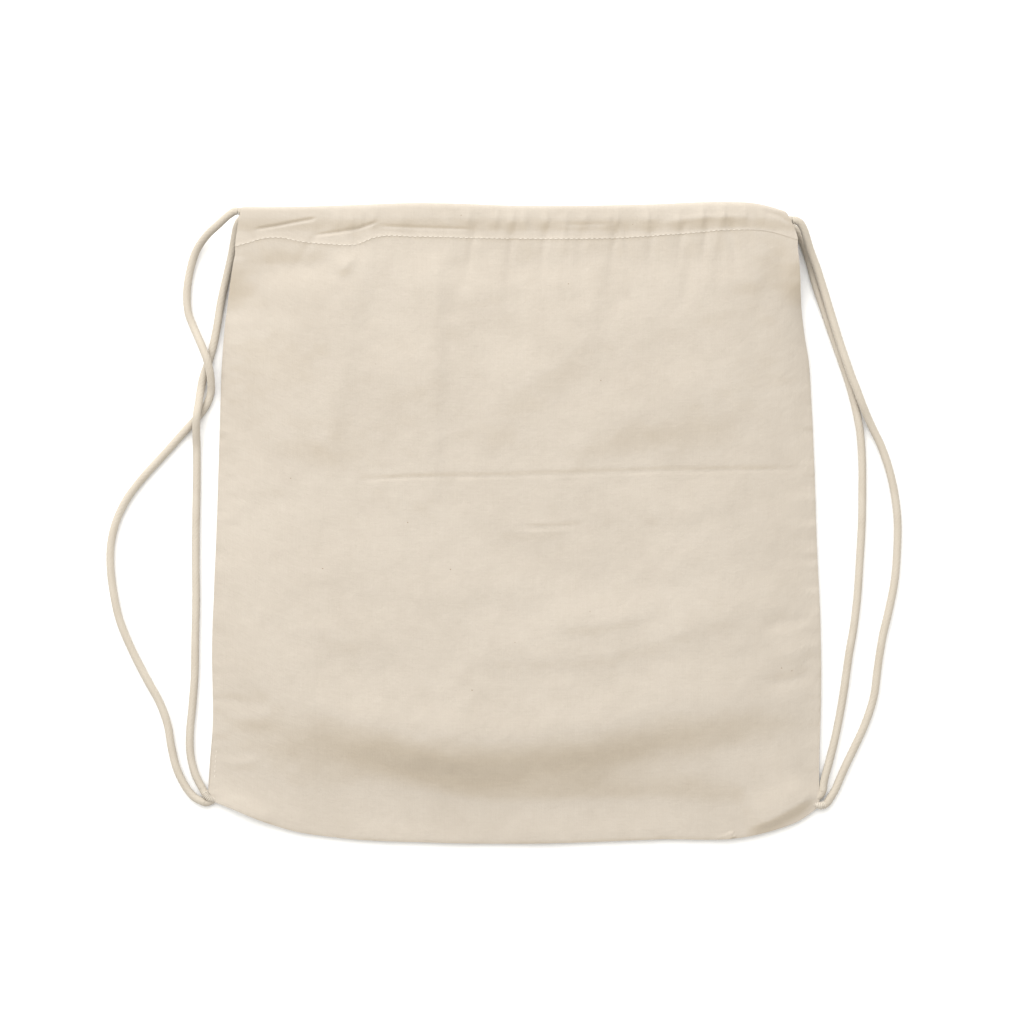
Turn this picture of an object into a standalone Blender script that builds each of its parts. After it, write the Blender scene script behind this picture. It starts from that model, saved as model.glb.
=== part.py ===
"""Drawstring backpack of plain cotton, lying on its back.

The bag is a front and a back panel sewn together on three sides. Each panel ends in a hem casing, a flat tunnel,
and two drawcords run through both casings. Each drawcord is one long cord: its two free strands are sewn into a
bottom corner and serve as a shoulder strap, and its middle is a U that goes in at the near end of the front casing,
round the far end of the mouth and back out of the back casing. Pulling a strap slides that U towards its own side.

Frame: metres, +X to the wearer's right as seen from above, +Y from the bottom towards the mouth, +Z up from the
floor. The origin is on the floor, below the middle of the bag.
"""

import math

import bmesh
import bpy
from mathutils import Matrix, Vector

# Bag outline
BAG_HALF_LENGTH = 0.2005
BAG_HALF_WIDTH = 0.1906
SIDE_TAPER = 0.022
SHOULDER_START_Y = 0.075
SHOULDER_CURVE = 1.03
CORNER_RISE = 0.026
CORNER_POWER = 6
CORNER_Y = -BAG_HALF_LENGTH + CORNER_RISE

# Cloth panels
CLOTH = 0.001
GAP = 0.0003
EDGE_Z = 0.003
CROWN_Z = 0.0204
SIDE_FALL_POWER = 4
BOTTOM_FALL_POWER = 6
CROWN_EASES_FROM = 0.75
SLIT_FROM = 0.9

# Hem casings
FRONT_CASING_HALF_LENGTH = 0.172
BACK_CASING_HALF_LENGTH = 0.163
CASING_DEPTH = 0.022
CASING_HEIGHT = 0.0072
CASING_WALL = 0.0008
CASING_Y = BAG_HALF_LENGTH - CASING_DEPTH / 2
BACK_CASING_Z = 0.0038
FRONT_CASING_Z = 0.0178
PANEL_TOP_Y = CASING_Y - CASING_DEPTH / 2 - GAP
ARC_STEPS = 6

# Drawcords
CORD_RADIUS = 0.0025
LEFT_LANE_Y = 0.1935
RIGHT_LANE_Y = 0.188
LOOP_END_X = 0.158
LOOP_RADIUS = (FRONT_CASING_Z - BACK_CASING_Z) / 2
LOOP_X = LOOP_END_X - CORD_RADIUS - LOOP_RADIUS
LOOP_STEPS = 10
POINT_SPACING = 4 * CORD_RADIUS
SAMPLES_PER_SPAN = 12

# Thread, seam allowances and bar tacks
THREAD_RADIUS = 0.0004
STITCH_LENGTH = 0.012
STITCH_WANDER = 0.0003
CASING_STITCH_Y = CASING_Y - 0.007
SEAM_INSET = 0.0012
ALLOWANCE_INSET = 0.0024
ALLOWANCE_WIDTH = 0.008
ALLOWANCE_THICKNESS = 0.0014
ALLOWANCE_REACH = 0.172
SEAM_TOP_Y = 0.138
SEAM_BOTTOM_Y = -0.168
SEAM_POINTS = 24
TACK_SIZE = Vector((0.004, 0.004, ALLOWANCE_THICKNESS))
CORNER_TACK_SIZE = Vector((0.0027, 0.009, 0.0046))
CORNER_TACK_Z = 0.0029
BEVEL = 0.0004

# The four free strands: from just outside a casing down to a bottom corner, on the floor beside the bag.
LEFT_FRONT_ROUTE = [
    (-0.1745, 0.1935, 0.0178), (-0.1795, 0.1903, 0.0166), (-0.1850, 0.1859, 0.0139), (-0.1899, 0.1822, 0.0108),
    (-0.1943, 0.1782, 0.0078), (-0.1985, 0.1730, 0.0050), (-0.2016, 0.1668, 0.0034), (-0.2040, 0.1585, 0.0027),
    (-0.2056, 0.1495, 0.0026), (-0.2061, 0.1405, 0.0026), (-0.2051, 0.1315, 0.0028), (-0.2022, 0.1238, 0.0036),
    (-0.1989, 0.1166, 0.0054), (-0.1956, 0.1094, 0.0076), (-0.1929, 0.1026, 0.0089), (-0.1912, 0.0956, 0.0080),
    (-0.1906, 0.0886, 0.0056), (-0.1910, 0.0816, 0.0032), (-0.1936, 0.0742, 0.0026), (-0.1989, 0.0666, 0.0026),
    (-0.2068, 0.0581, 0.0026), (-0.2193, 0.0440, 0.0026), (-0.2322, 0.0299, 0.0026), (-0.2430, 0.0160, 0.0026),
    (-0.2502, 0.0016, 0.0026), (-0.2537, -0.0130, 0.0026), (-0.2541, -0.0267, 0.0026), (-0.2526, -0.0410, 0.0026),
    (-0.2487, -0.0600, 0.0026), (-0.2413, -0.0785, 0.0026), (-0.2318, -0.0973, 0.0026), (-0.2232, -0.1130, 0.0026),
    (-0.2182, -0.1270, 0.0026), (-0.2158, -0.1410, 0.0026), (-0.2126, -0.1540, 0.0026), (-0.2074, -0.1650, 0.0026),
    (-0.2016, -0.1723, 0.0026), (-0.1950, -0.1758, 0.0026),
]
LEFT_BACK_ROUTE = [
    (-0.1655, 0.1935, 0.0038), (-0.1694, 0.1924, 0.0038), (-0.1726, 0.1896, 0.0037), (-0.1745, 0.1856, 0.0035),
    (-0.1755, 0.1806, 0.0032), (-0.1767, 0.1742, 0.0029), (-0.1783, 0.1664, 0.0027), (-0.1806, 0.1565, 0.0026),
    (-0.1830, 0.1465, 0.0026), (-0.1852, 0.1355, 0.0026), (-0.1870, 0.1240, 0.0026), (-0.1892, 0.1126, 0.0026),
    (-0.1922, 0.1014, 0.0026), (-0.1956, 0.0920, 0.0026), (-0.1972, 0.0844, 0.0032), (-0.1980, 0.0756, 0.0066),
    (-0.1991, 0.0666, 0.0092), (-0.1997, 0.0576, 0.0066), (-0.1998, 0.0480, 0.0032), (-0.1998, 0.0380, 0.0026),
    (-0.2000, 0.0180, 0.0026), (-0.2004, -0.0040, 0.0026), (-0.2005, -0.0260, 0.0026), (-0.2003, -0.0480, 0.0026),
    (-0.2008, -0.0720, 0.0026), (-0.2012, -0.0960, 0.0026), (-0.2026, -0.1150, 0.0026), (-0.2041, -0.1310, 0.0026),
    (-0.2039, -0.1450, 0.0026), (-0.2010, -0.1575, 0.0026), (-0.1966, -0.1666, 0.0026),
]
RIGHT_FRONT_ROUTE = [
    (0.1745, 0.1879, 0.0177), (0.1776, 0.1861, 0.0169), (0.1799, 0.1824, 0.0156), (0.1818, 0.1774, 0.0136),
    (0.1839, 0.1714, 0.0112), (0.1864, 0.1652, 0.0094), (0.1889, 0.1592, 0.0082), (0.1916, 0.1510, 0.0074),
    (0.1944, 0.1420, 0.0071), (0.1975, 0.1315, 0.0074), (0.2007, 0.1210, 0.0076), (0.2040, 0.1105, 0.0078),
    (0.2074, 0.1005, 0.0079), (0.2106, 0.0915, 0.0077), (0.2140, 0.0830, 0.0074), (0.2176, 0.0738, 0.0066),
    (0.2210, 0.0662, 0.0047),
    (0.2250, 0.0580, 0.0031), (0.2296, 0.0487, 0.0026), (0.2346, 0.0345, 0.0026), (0.2382, 0.0190, 0.0026),
    (0.2402, 0.0016, 0.0026), (0.2400, -0.0170, 0.0026), (0.2384, -0.0365, 0.0026), (0.2348, -0.0550, 0.0026),
    (0.2306, -0.0730, 0.0026), (0.2278, -0.0910, 0.0026), (0.2254, -0.1090, 0.0026), (0.2200, -0.1260, 0.0026),
    (0.2137, -0.1400, 0.0026), (0.2084, -0.1510, 0.0026), (0.2044, -0.1600, 0.0026), (0.2006, -0.1686, 0.0026),
    (0.1959, -0.1760, 0.0026),
]
RIGHT_BACK_ROUTE = [
    (0.1655, 0.1880, 0.0038), (0.1708, 0.1872, 0.0038), (0.1755, 0.1842, 0.0036), (0.1788, 0.1797, 0.0033),
    (0.1813, 0.1740, 0.0030), (0.1835, 0.1677, 0.0027), (0.1857, 0.1607, 0.0026), (0.1883, 0.1505, 0.0026),
    (0.1914, 0.1410, 0.0026), (0.1948, 0.1310, 0.0026), (0.1982, 0.1210, 0.0026), (0.2018, 0.1105, 0.0026),
    (0.2052, 0.1010, 0.0026), (0.2082, 0.0920, 0.0026), (0.2110, 0.0830, 0.0026), (0.2134, 0.0740, 0.0026),
    (0.2153, 0.0650, 0.0026), (0.2169, 0.0550, 0.0026), (0.2180, 0.0380, 0.0026), (0.2181, 0.0200, 0.0026),
    (0.2178, 0.0000, 0.0026), (0.2166, -0.0220, 0.0026), (0.2151, -0.0450, 0.0026), (0.2128, -0.0650, 0.0026),
    (0.2097, -0.0830, 0.0026), (0.2069, -0.1030, 0.0026), (0.2039, -0.1210, 0.0026), (0.2006, -0.1370, 0.0026),
    (0.1970, -0.1510, 0.0026), (0.1943, -0.1610, 0.0026), (0.1931, -0.1687, 0.0026),
]


def clear_scene():
    for ob in list(bpy.data.objects):
        bpy.data.objects.remove(ob)


def new_collection(name):
    collection = bpy.data.collections.new(name)
    bpy.context.scene.collection.children.link(collection)
    return collection


def cotton(name, colour, roughness=0.9):
    material = bpy.data.materials.new(name)
    material.use_nodes = True
    shader = material.node_tree.nodes["Principled BSDF"]
    shader.inputs["Base Color"].default_value = (*colour, 1)
    shader.inputs["Roughness"].default_value = roughness
    shader.inputs["Metallic"].default_value = 0
    return material


def add(name, data, material, origin=(0, 0, 0)):
    """A named part of the bag, with its origin at the given point and its data relative to that."""
    ob = bpy.data.objects.new(name, data)
    ob.location = origin
    ob.parent = BAG
    data.materials.append(material)
    PARTS.objects.link(ob)
    return ob


# ---------------------------------------------------------------- the bag's own formulas


def smoothstep(low, high, value):
    t = min(max((value - low) / (high - low), 0), 1)
    return t * t * (3 - 2 * t)


def half_width(y):
    """Half the bag's width at y: a slight taper, then shoulders that draw in towards the mouth."""
    taper = SIDE_TAPER * (y - CORNER_Y)
    shoulder = SHOULDER_CURVE * max(y - SHOULDER_START_Y, 0) ** 2
    return BAG_HALF_WIDTH - taper - shoulder


def bottom_y(u):
    """The bottom edge at u, which runs from -1 at the left side to 1 at the right, with rounded corners."""
    return -BAG_HALF_LENGTH + CORNER_RISE * abs(u) ** CORNER_POWER


def panel_point(u, v):
    """A point of the flat panel: v runs from 0 at the bottom edge to 1 at the casing."""
    y = bottom_y(u) + v * (PANEL_TOP_Y - bottom_y(u))
    return u * half_width(y), y


def front_underside(u, v):
    """The height of the front panel's inner face: sewn down at the sides and bottom, crowned in the middle."""
    hem = FRONT_CASING_Z - CLOTH / 2
    middle = EDGE_Z + (CROWN_Z - EDGE_Z) * (1 - (1 - v) ** BOTTOM_FALL_POWER)
    middle += (hem - middle) * smoothstep(CROWN_EASES_FROM, 1, v)
    side = EDGE_Z + (hem - EDGE_Z) * smoothstep(SLIT_FROM, 1, v)
    return side + (middle - side) * (1 - abs(u) ** SIDE_FALL_POWER)


def eased(t, share):
    """Spaces t in -1..1 more closely near both ends."""
    return t + share * math.sin(math.pi * t) / math.pi


# ---------------------------------------------------------------- shapes


def sheet(name, columns, rows, place, thickness, material):
    """A grid over -1..1 each way, moved to where place puts it and thickened upwards."""
    mesh = bpy.data.meshes.new(name)
    bm = bmesh.new()
    bmesh.ops.create_grid(bm, x_segments=columns, y_segments=rows, size=1)
    for vertex in bm.verts:
        vertex.co = place(vertex.co.x, vertex.co.y)
    bm.to_mesh(mesh)
    bm.free()
    mesh.shade_smooth()
    ob = add(name, mesh, material)
    solidify = ob.modifiers.new("cloth", "SOLIDIFY")
    solidify.thickness = thickness
    solidify.offset = 1
    return ob


def smooth_route(points, spacing):
    """Evenly spaced points on a Catmull-Rom curve through a route's own points."""
    route = [Vector(p) for p in points]
    route = [2 * route[0] - route[1], *route, 2 * route[-1] - route[-2]]
    fine = []
    for a, b, c, d in zip(route, route[1:], route[2:], route[3:]):
        for step in range(SAMPLES_PER_SPAN):
            t = step / SAMPLES_PER_SPAN
            bend = 2 * a - 5 * b + 4 * c - d
            twist = 3 * (b - c) + d - a
            fine.append(b + ((c - a) * t + bend * t**2 + twist * t**3) / 2)
    fine.append(route[-2])
    along = [0.0]
    for a, b in zip(fine, fine[1:]):
        along.append(along[-1] + (b - a).length)
    count = round(along[-1] / spacing)
    even, i = [fine[0]], 0
    for n in range(1, count):
        target = along[-1] * n / count
        while along[i + 1] < target:
            i += 1
        even.append(fine[i].lerp(fine[i + 1], (target - along[i]) / (along[i + 1] - along[i])))
    return [*even, fine[-1]]


def tube(name, points, radius, material, origin=(0, 0, 0), resolution=2):
    """A round cord or thread through points, with flat ends."""
    curve = bpy.data.curves.new(name, "CURVE")
    curve.dimensions = "3D"
    curve.bevel_depth = radius
    curve.bevel_resolution = resolution
    curve.use_fill_caps = True
    spline = curve.splines.new("POLY")
    spline.points.add(len(points) - 1)
    for spline_point, point in zip(spline.points, points):
        spline_point.co = (*(Vector(point) - Vector(origin)), 1)
    return add(name, curve, material, origin)


def slot_outline(width, height):
    """A flat slot with round ends, its long side along the outline's own X."""
    radius = height / 2
    straight = width / 2 - radius
    points = []
    for side in (1, -1):
        for step in range(ARC_STEPS + 1):
            angle = (step / ARC_STEPS - 0.5) * math.pi
            points.append((side * (straight + radius * math.cos(angle)), side * radius * math.sin(angle)))
    return points


def casing(name, half_length, z, notch_side, material):
    """A hem tunnel along X. Both ends lose the half that faces the mouth, where the drawcords' loops cross over."""
    curve = bpy.data.curves.new(name, "CURVE")
    curve.dimensions = "2D"
    curve.fill_mode = "BOTH"
    curve.extrude = half_length
    inside = 2 * CASING_WALL
    for width, height in ((CASING_DEPTH, CASING_HEIGHT), (CASING_DEPTH - inside, CASING_HEIGHT - inside)):
        outline = slot_outline(width, height)
        spline = curve.splines.new("POLY")
        spline.points.add(len(outline) - 1)
        for spline_point, (x, y) in zip(spline.points, outline):
            spline_point.co = (x, y, 0, 1)
        spline.use_cyclic_u = True
    guide = bpy.data.objects.new(name + "_outline", curve)
    CUTTERS.objects.link(guide)
    bpy.context.view_layer.update()
    mesh = bpy.data.meshes.new_from_object(guide.evaluated_get(bpy.context.evaluated_depsgraph_get()))
    bpy.data.objects.remove(guide)
    bm = bmesh.new()
    bm.from_mesh(mesh)
    bmesh.ops.remove_doubles(bm, verts=bm.verts, dist=1e-6)
    across_to_world = Matrix(((0, 0, 1), (1, 0, 0), (0, 1, 0))).to_4x4()
    bmesh.ops.transform(bm, matrix=across_to_world, verts=bm.verts)
    bm.to_mesh(mesh)
    bm.free()
    ob = add(name, mesh, material, (0, CASING_Y, z))
    for end in (-1, 1):
        notch_length = half_length - LOOP_X
        centre = (end * half_length, CASING_Y, z + notch_side * CASING_HEIGHT)
        size = (2 * notch_length, 2 * CASING_DEPTH, 2 * CASING_HEIGHT)
        cutter = block(f"{name}_notch_{'left' if end < 0 else 'right'}", centre, size, CUTTERS)
        cutter.display_type = "WIRE"
        cutter.hide_render = True
        cut = ob.modifiers.new("notch", "BOOLEAN")
        cut.operation = "DIFFERENCE"
        cut.solver = "EXACT"
        cut.object = cutter
    return ob


def block(name, centre, size, collection):
    mesh = bpy.data.meshes.new(name)
    bm = bmesh.new()
    bmesh.ops.create_cube(bm, size=1, matrix=Matrix.Diagonal((*size, 1)))
    bm.to_mesh(mesh)
    bm.free()
    ob = bpy.data.objects.new(name, mesh)
    ob.location = centre
    collection.objects.link(ob)
    return ob


def tack(name, centre, size, material):
    """A dense little block of thread with softened edges."""
    ob = block(name, centre, size, PARTS)
    ob.parent = BAG
    ob.data.materials.append(material)
    bevel = ob.modifiers.new("soft_edges", "BEVEL")
    bevel.width = BEVEL
    bevel.segments = 2
    return ob


# ---------------------------------------------------------------- parts


def add_panels(cloth):
    def back(s, t):
        x, y = panel_point(eased(s, 0.3), (1 + eased(t, 0.3)) / 2)
        return x, y, 0

    def front(s, t):
        u, v = eased(s, 0.5), (1 + eased(t, 0.6)) / 2
        return *panel_point(u, v), front_underside(u, v)

    sheet("back_panel", 16, 12, back, CLOTH, cloth)
    sheet("front_panel", 24, 24, front, CLOTH, cloth)


def add_casings(cloth, thread):
    for name, half_length, z, notch_side in (
        ("back_casing", BACK_CASING_HALF_LENGTH, BACK_CASING_Z, 1),
        ("front_casing", FRONT_CASING_HALF_LENGTH, FRONT_CASING_Z, -1),
    ):
        casing(name, half_length, z, notch_side, cloth)
        top = z + CASING_HEIGHT / 2 + GAP + THREAD_RADIUS
        half = int(LOOP_X / STITCH_LENGTH)
        points = []
        for n in range(-half, half + 1):
            points.append((n * STITCH_LENGTH, CASING_STITCH_Y + (-1) ** n * STITCH_WANDER, top))
        tube(f"{name}_stitching", points, THREAD_RADIUS, thread, (0, CASING_STITCH_Y, z), 1)


def add_seams(cloth, thread):
    """The folded-in seam allowances between the panels, and the thread that closes each seam."""
    low = CLOTH + GAP
    for side, name in ((-1, "left"), (1, "right")):

        def strip(s, t, side=side):
            y = SEAM_BOTTOM_Y + (t + 1) / 2 * (SEAM_TOP_Y - SEAM_BOTTOM_Y)
            inset = ALLOWANCE_INSET + (1 - side * s) / 2 * ALLOWANCE_WIDTH
            return side * (half_width(y) - inset), y, low

        sheet(f"{name}_seam_allowance", 1, SEAM_POINTS, strip, ALLOWANCE_THICKNESS, cloth)
        points = []
        for n in range(SEAM_POINTS + 1):
            y = SEAM_BOTTOM_Y + n / SEAM_POINTS * (SEAM_TOP_Y - SEAM_BOTTOM_Y)
            points.append((side * (half_width(y) - SEAM_INSET), y, low + THREAD_RADIUS))
        tube(f"{name}_seam_stitching", points, THREAD_RADIUS, thread, (0, 0, 0), 1)
        tack_x = side * (half_width(SEAM_TOP_Y) - SEAM_INSET - TACK_SIZE.x)
        tack_y = SEAM_TOP_Y + GAP + TACK_SIZE.y / 2
        tack(f"{name}_slit_bartack", (tack_x, tack_y, low + TACK_SIZE.z / 2), TACK_SIZE, thread)
        corner_x = side * (BAG_HALF_WIDTH + GAP + CORNER_TACK_SIZE.x / 2)
        tack(f"{name}_corner_bartack", (corner_x, CORNER_Y, CORNER_TACK_Z), CORNER_TACK_SIZE, thread)

    reach = ALLOWANCE_REACH / BAG_HALF_WIDTH

    def bottom_strip(s, t):
        inset = ALLOWANCE_INSET + (t + 1) / 2 * ALLOWANCE_WIDTH
        return s * ALLOWANCE_REACH, bottom_y(s * reach) + inset, low

    sheet("bottom_seam_allowance", SEAM_POINTS, 1, bottom_strip, ALLOWANCE_THICKNESS, cloth)
    points = []
    for n in range(SEAM_POINTS + 1):
        s = 2 * n / SEAM_POINTS - 1
        points.append((s * ALLOWANCE_REACH, bottom_y(s * reach) + SEAM_INSET, low + THREAD_RADIUS))
    tube("bottom_seam_stitching", points, THREAD_RADIUS, thread, (0, 0, 0), 1)


def add_drawcords(cord):
    """Each cord's U through both casings, with its origin on its slide line, and its two free strands."""
    middle_z = (FRONT_CASING_Z + BACK_CASING_Z) / 2
    for side, name, lane in ((-1, "left", LEFT_LANE_Y), (1, "right", RIGHT_LANE_Y)):
        points = [Vector((side * FRONT_CASING_HALF_LENGTH, lane, FRONT_CASING_Z))]
        for n in range(LOOP_STEPS + 1):
            angle = math.pi * (0.5 - n / LOOP_STEPS)
            x = -side * (LOOP_X + LOOP_RADIUS * math.cos(angle))
            points.append(Vector((x, lane, middle_z + LOOP_RADIUS * math.sin(angle))))
        points.append(Vector((side * BACK_CASING_HALF_LENGTH, lane, BACK_CASING_Z)))
        tube(f"{name}_cord_casing_run", points, CORD_RADIUS, cord, (0, lane, middle_z))
    for name, half_length, route in (
        ("left_cord_front_strand", FRONT_CASING_HALF_LENGTH, LEFT_FRONT_ROUTE),
        ("left_cord_back_strand", BACK_CASING_HALF_LENGTH, LEFT_BACK_ROUTE),
        ("right_cord_front_strand", FRONT_CASING_HALF_LENGTH, RIGHT_FRONT_ROUTE),
        ("right_cord_back_strand", BACK_CASING_HALF_LENGTH, RIGHT_BACK_ROUTE),
    ):
        start = Vector(route[0])
        start.x = math.copysign(half_length + GAP, start.x)
        tube(name, [start, *smooth_route(route, POINT_SPACING)], CORD_RADIUS, cord, start)


clear_scene()
PARTS = new_collection("drawstring_backpack")
CUTTERS = new_collection("cutters")
BAG = bpy.data.objects.new("bag", None)
PARTS.objects.link(BAG)
calico = cotton("calico", (0.72, 0.66, 0.55))
cord_cotton = cotton("cord_cotton", (0.78, 0.73, 0.62))
sewing_thread = cotton("sewing_thread", (0.82, 0.78, 0.70), 0.7)
add_panels(calico)
add_casings(calico, sewing_thread)
add_seams(calico, sewing_thread)
add_drawcords(cord_cotton)
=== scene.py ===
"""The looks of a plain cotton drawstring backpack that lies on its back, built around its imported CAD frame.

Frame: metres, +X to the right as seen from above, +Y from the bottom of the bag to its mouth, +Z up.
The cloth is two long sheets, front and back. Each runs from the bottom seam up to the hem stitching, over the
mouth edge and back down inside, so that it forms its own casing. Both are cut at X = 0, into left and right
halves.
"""

import math
from functools import partial

import bpy
import numpy as np
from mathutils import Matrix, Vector


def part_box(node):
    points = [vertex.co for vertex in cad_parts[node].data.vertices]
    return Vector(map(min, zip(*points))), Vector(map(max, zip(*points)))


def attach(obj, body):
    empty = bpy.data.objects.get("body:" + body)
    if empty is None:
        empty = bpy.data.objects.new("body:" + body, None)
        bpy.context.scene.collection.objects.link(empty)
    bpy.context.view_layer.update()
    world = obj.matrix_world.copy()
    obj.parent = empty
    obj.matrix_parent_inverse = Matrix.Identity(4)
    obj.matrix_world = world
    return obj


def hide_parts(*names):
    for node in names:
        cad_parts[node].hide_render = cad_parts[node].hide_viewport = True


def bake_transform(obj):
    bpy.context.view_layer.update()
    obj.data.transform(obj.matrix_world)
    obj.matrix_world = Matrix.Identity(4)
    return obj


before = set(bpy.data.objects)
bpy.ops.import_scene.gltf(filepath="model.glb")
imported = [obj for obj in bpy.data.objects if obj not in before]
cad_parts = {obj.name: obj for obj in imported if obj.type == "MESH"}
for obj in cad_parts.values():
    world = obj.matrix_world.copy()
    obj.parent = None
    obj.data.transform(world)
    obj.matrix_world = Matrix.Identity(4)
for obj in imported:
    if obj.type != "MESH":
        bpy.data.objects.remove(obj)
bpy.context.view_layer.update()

MM = 0.001
SIGNS = {"left": -1, "right": 1}

# Camera: it looks straight down, with the mouth of the bag at the top of the picture
CAMERA_PLACE = (-0.0019, 0.0066, 1.521)
CAMERA_LENS = 85
CAMERA_SENSOR = 36

# Light and floor
KEY_PLACE = (-0.5, 1.4, 1.4)
KEY_AIM = (0, 0, 0)
KEY_SIZE = 3.0
KEY_POWER = 80
WORLD_STRENGTH = 0.85
FLOOR_SIZE = 8
FLOOR_Z = -0.0003

# Cloth
CLOTH_THICKNESS = 0.0005
COLUMNS = 300
BODY_ROWS = 240
BACK_COLUMNS = 120
BACK_BODY_ROWS = 108
CASING_ROWS = 44
INNER_CASING_ROWS = 16
HEM_ROWS = 3
EDGE_CROWDING = 0.9
LAYER_GAP = 0.0012
CROWN_Z = 0.0165
SEAM_Z = 0.0032
SEAM_RISE = 0.0024
BACK_REST_Z = 0.0008
FRONT_CASING_Z = 0.0178
FRONT_HEM_LIFT = 0.0021
BACK_CASING_Z = 0.0038
CASING_BULGE = 0.0037
CASING_FOOT_Y = 0.1802
FRONT_LOWEST_Z = 0.0029
LANE_MIDDLE_Y = 0.1905
FRONT_EDGE_RADIUS = 0.0025
FRONT_EDGE_SHARE = 0.05
BACK_EDGE_RADIUS = 0.005
FRONT_SLOPE_LENGTH = 0.055
TOP_SLOPE_LENGTH = 0.018
CREASE_Y = 0.0305

# Where a panel's height changes, from 0 at the bottom seam to 1 at the hem stitching
SIDE_SEAM_CLIMB = (0.70, 0.93)
OPENING_FROM = 0.88
CROWN_UNTIL = 0.55
STEEP_SIDES_FROM = 0.9
FOLDS_FADE_FROM = 0.955
FOLDS_FADED = 0.92
# How far from the bottom edge the front reaches its height: on the left, on the right, and where it changes
BOTTOM_RISE = (0.085, 0.045)
BOTTOM_RISE_CHANGE = (-0.11, 0.0)
BOTTOM_RISE_START = 0.008
BOTTOM_EDGE_RADIUS = 0.003
BOTTOM_EDGE_SHARE = 0.04
FLOOR_SOFTNESS = 0.0007

# Outlines in millimetres. The bottom, hem and mouth lines are (x, y); the side lines are (y, x).
BOTTOM_LINE = [
    (-193, -174), (-181.5, -178), (-162, -186), (-143, -192.5), (-109, -198), (-60, -200.6), (21, -201.3),
    (90, -198.8), (146, -197), (156, -194.8), (165, -192.3), (180, -186.2), (188.5, -180), (192, -177),
]
LEFT_SIDE = [
    (-174, -193), (-149, -191.5), (-130, -189.9), (-74, -190.1), (-45, -189), (2, -187.1), (58, -185.3),
    (105, -183.6), (127, -181.5), (152, -177), (167.4, -173.8),
]
RIGHT_SIDE = [
    (-174, 191), (-149, 191), (-102, 192.2), (-55, 191.5), (-17, 189.7), (39, 187.8), (80, 185.9),
    (105, 184), (118, 181.7), (143, 178.7), (160, 177), (171.4, 175.6),
]
HEM_LINE = [
    (-173.8, 171.5), (-165, 174), (-157.8, 176.2), (-146, 176.9), (-133.6, 174.6), (-115, 172.9),
    (-99, 172.8), (-86.4, 177.2), (-61.5, 177.6), (-20, 176.6), (27.9, 176.2), (59.6, 176.6), (104, 179.4),
    (136.6, 181.8), (158.4, 180.6), (175.7, 175.5),
]
MOUTH_LINE = [
    (-169.6, 196.3), (-148, 196.3), (-130, 196.6), (-99, 197.6), (-64, 198.8), (-35, 198.4), (-10, 197.4),
    (22, 197), (82, 197.9), (134.6, 199.4), (147.5, 198.8), (159.4, 196.2), (167.5, 193.6),
]
# The shorter back casing: half its length at the stitching and at the mouth, and where (y) the sheet narrows
BACK_CASING_HALF = 0.1645
BACK_MOUTH_HALF = 0.1628
BACK_NARROWS = (0.125, 0.172)
# Beyond this x the casings have no inner face
NOTCH_FROM = 0.1455

# Cords
CORD_DIAMETER = 0.005
CORD_RADIUS = CORD_DIAMETER / 2
BRAID_STRANDS = 6
BRAID_LAY = 0.0032
BRAID_DEPTH = 0.13
BRAID_SLACK = 0.02
BRAID_SLACK_LENGTH = 0.012
RING_SIDES = 24
RING_SPACING = 0.00045
HIDDEN_RING_SPACING = 0.0008
LEFT_LANE_Y = 0.1935
RIGHT_LANE_Y = 0.188
LOOP_X = 0.1485
LOOP_RADIUS = 0.007
LOOP_STEPS = 24
FRONT_CASING_HALF = 0.172
BACK_CASING_EXIT = 0.163
EXIT_GAP = 0.0003
SAMPLES_PER_SPAN = 12

# Thread
THREAD_RADIUS = 0.00026
THREAD_SIDES = 6
SEAM_THREAD_SIDES = 5
MIDDLE_GAP = 0.0004
STITCH_LENGTH = 0.0032
STITCH_GAP = 0.0007
STITCH_SINK = 0.00012
STITCH_FADE = 0.0005
OVERLOCK_STEP = 0.0017
ALLOWANCE_INSET = 0.0022
ALLOWANCE_REACH = 0.0105
ALLOWANCE_DROP = 0.0013
ALLOWANCE_Z = 0.0016
# Lift and share of the width of an allowance's two layers
ALLOWANCE_LAYERS = ((0.0, 1.0), (CLOTH_THICKNESS * 1.5, 0.93))
SEAM_STITCH_INSET = 0.0034
SEAM_STITCH_LIFT = 0.0009
SEAM_POINTS = 120
SEAM_LOW_Y = -0.168
SEAM_HIGH_Y = 0.138
BOTTOM_SEAM_HALF = 0.172
TACK_PASSES = 15
TACK_HALF = 0.0017
SLIT_TACK_LIFT = 0.006
CORNER_LOOPS = 9
CORNER_LOOPS_SPAN = (0.45, 0.97)
CORNER_LOOP_OVERLAP = 0.35
CORNER_TAPER = 0.45
FLUFF_FIBRES = 9
FLUFF_LENGTH = (0.0010, 0.0024)
# Where the two ends of each cord go on into the bottom corner of the bag: the upper end, then the lower one
CORNER_ENDS = {
    "left": (
        [(-0.1975, -0.1647, 0.0026), (-0.1961, -0.1674, 0.0027), (-0.1941, -0.1708, 0.0034),
         (-0.1917, -0.1732, 0.0036), (-0.1890, -0.1740, 0.0024)],
        [(-0.1968, -0.1749, 0.0026), (-0.1945, -0.1759, 0.0025), (-0.1920, -0.1757, 0.0022),
         (-0.1890, -0.1744, 0.0018)],
    ),
    "right": (
        [(0.1974, -0.1739, 0.0026), (0.1956, -0.1763, 0.0027), (0.1930, -0.1776, 0.0032),
         (0.1904, -0.1776, 0.0032), (0.1876, -0.1768, 0.0022)],
        [(0.1934, -0.1664, 0.0026), (0.1929, -0.1692, 0.0026), (0.1912, -0.1720, 0.0025),
         (0.1886, -0.1740, 0.0020)],
    ),
}

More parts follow.
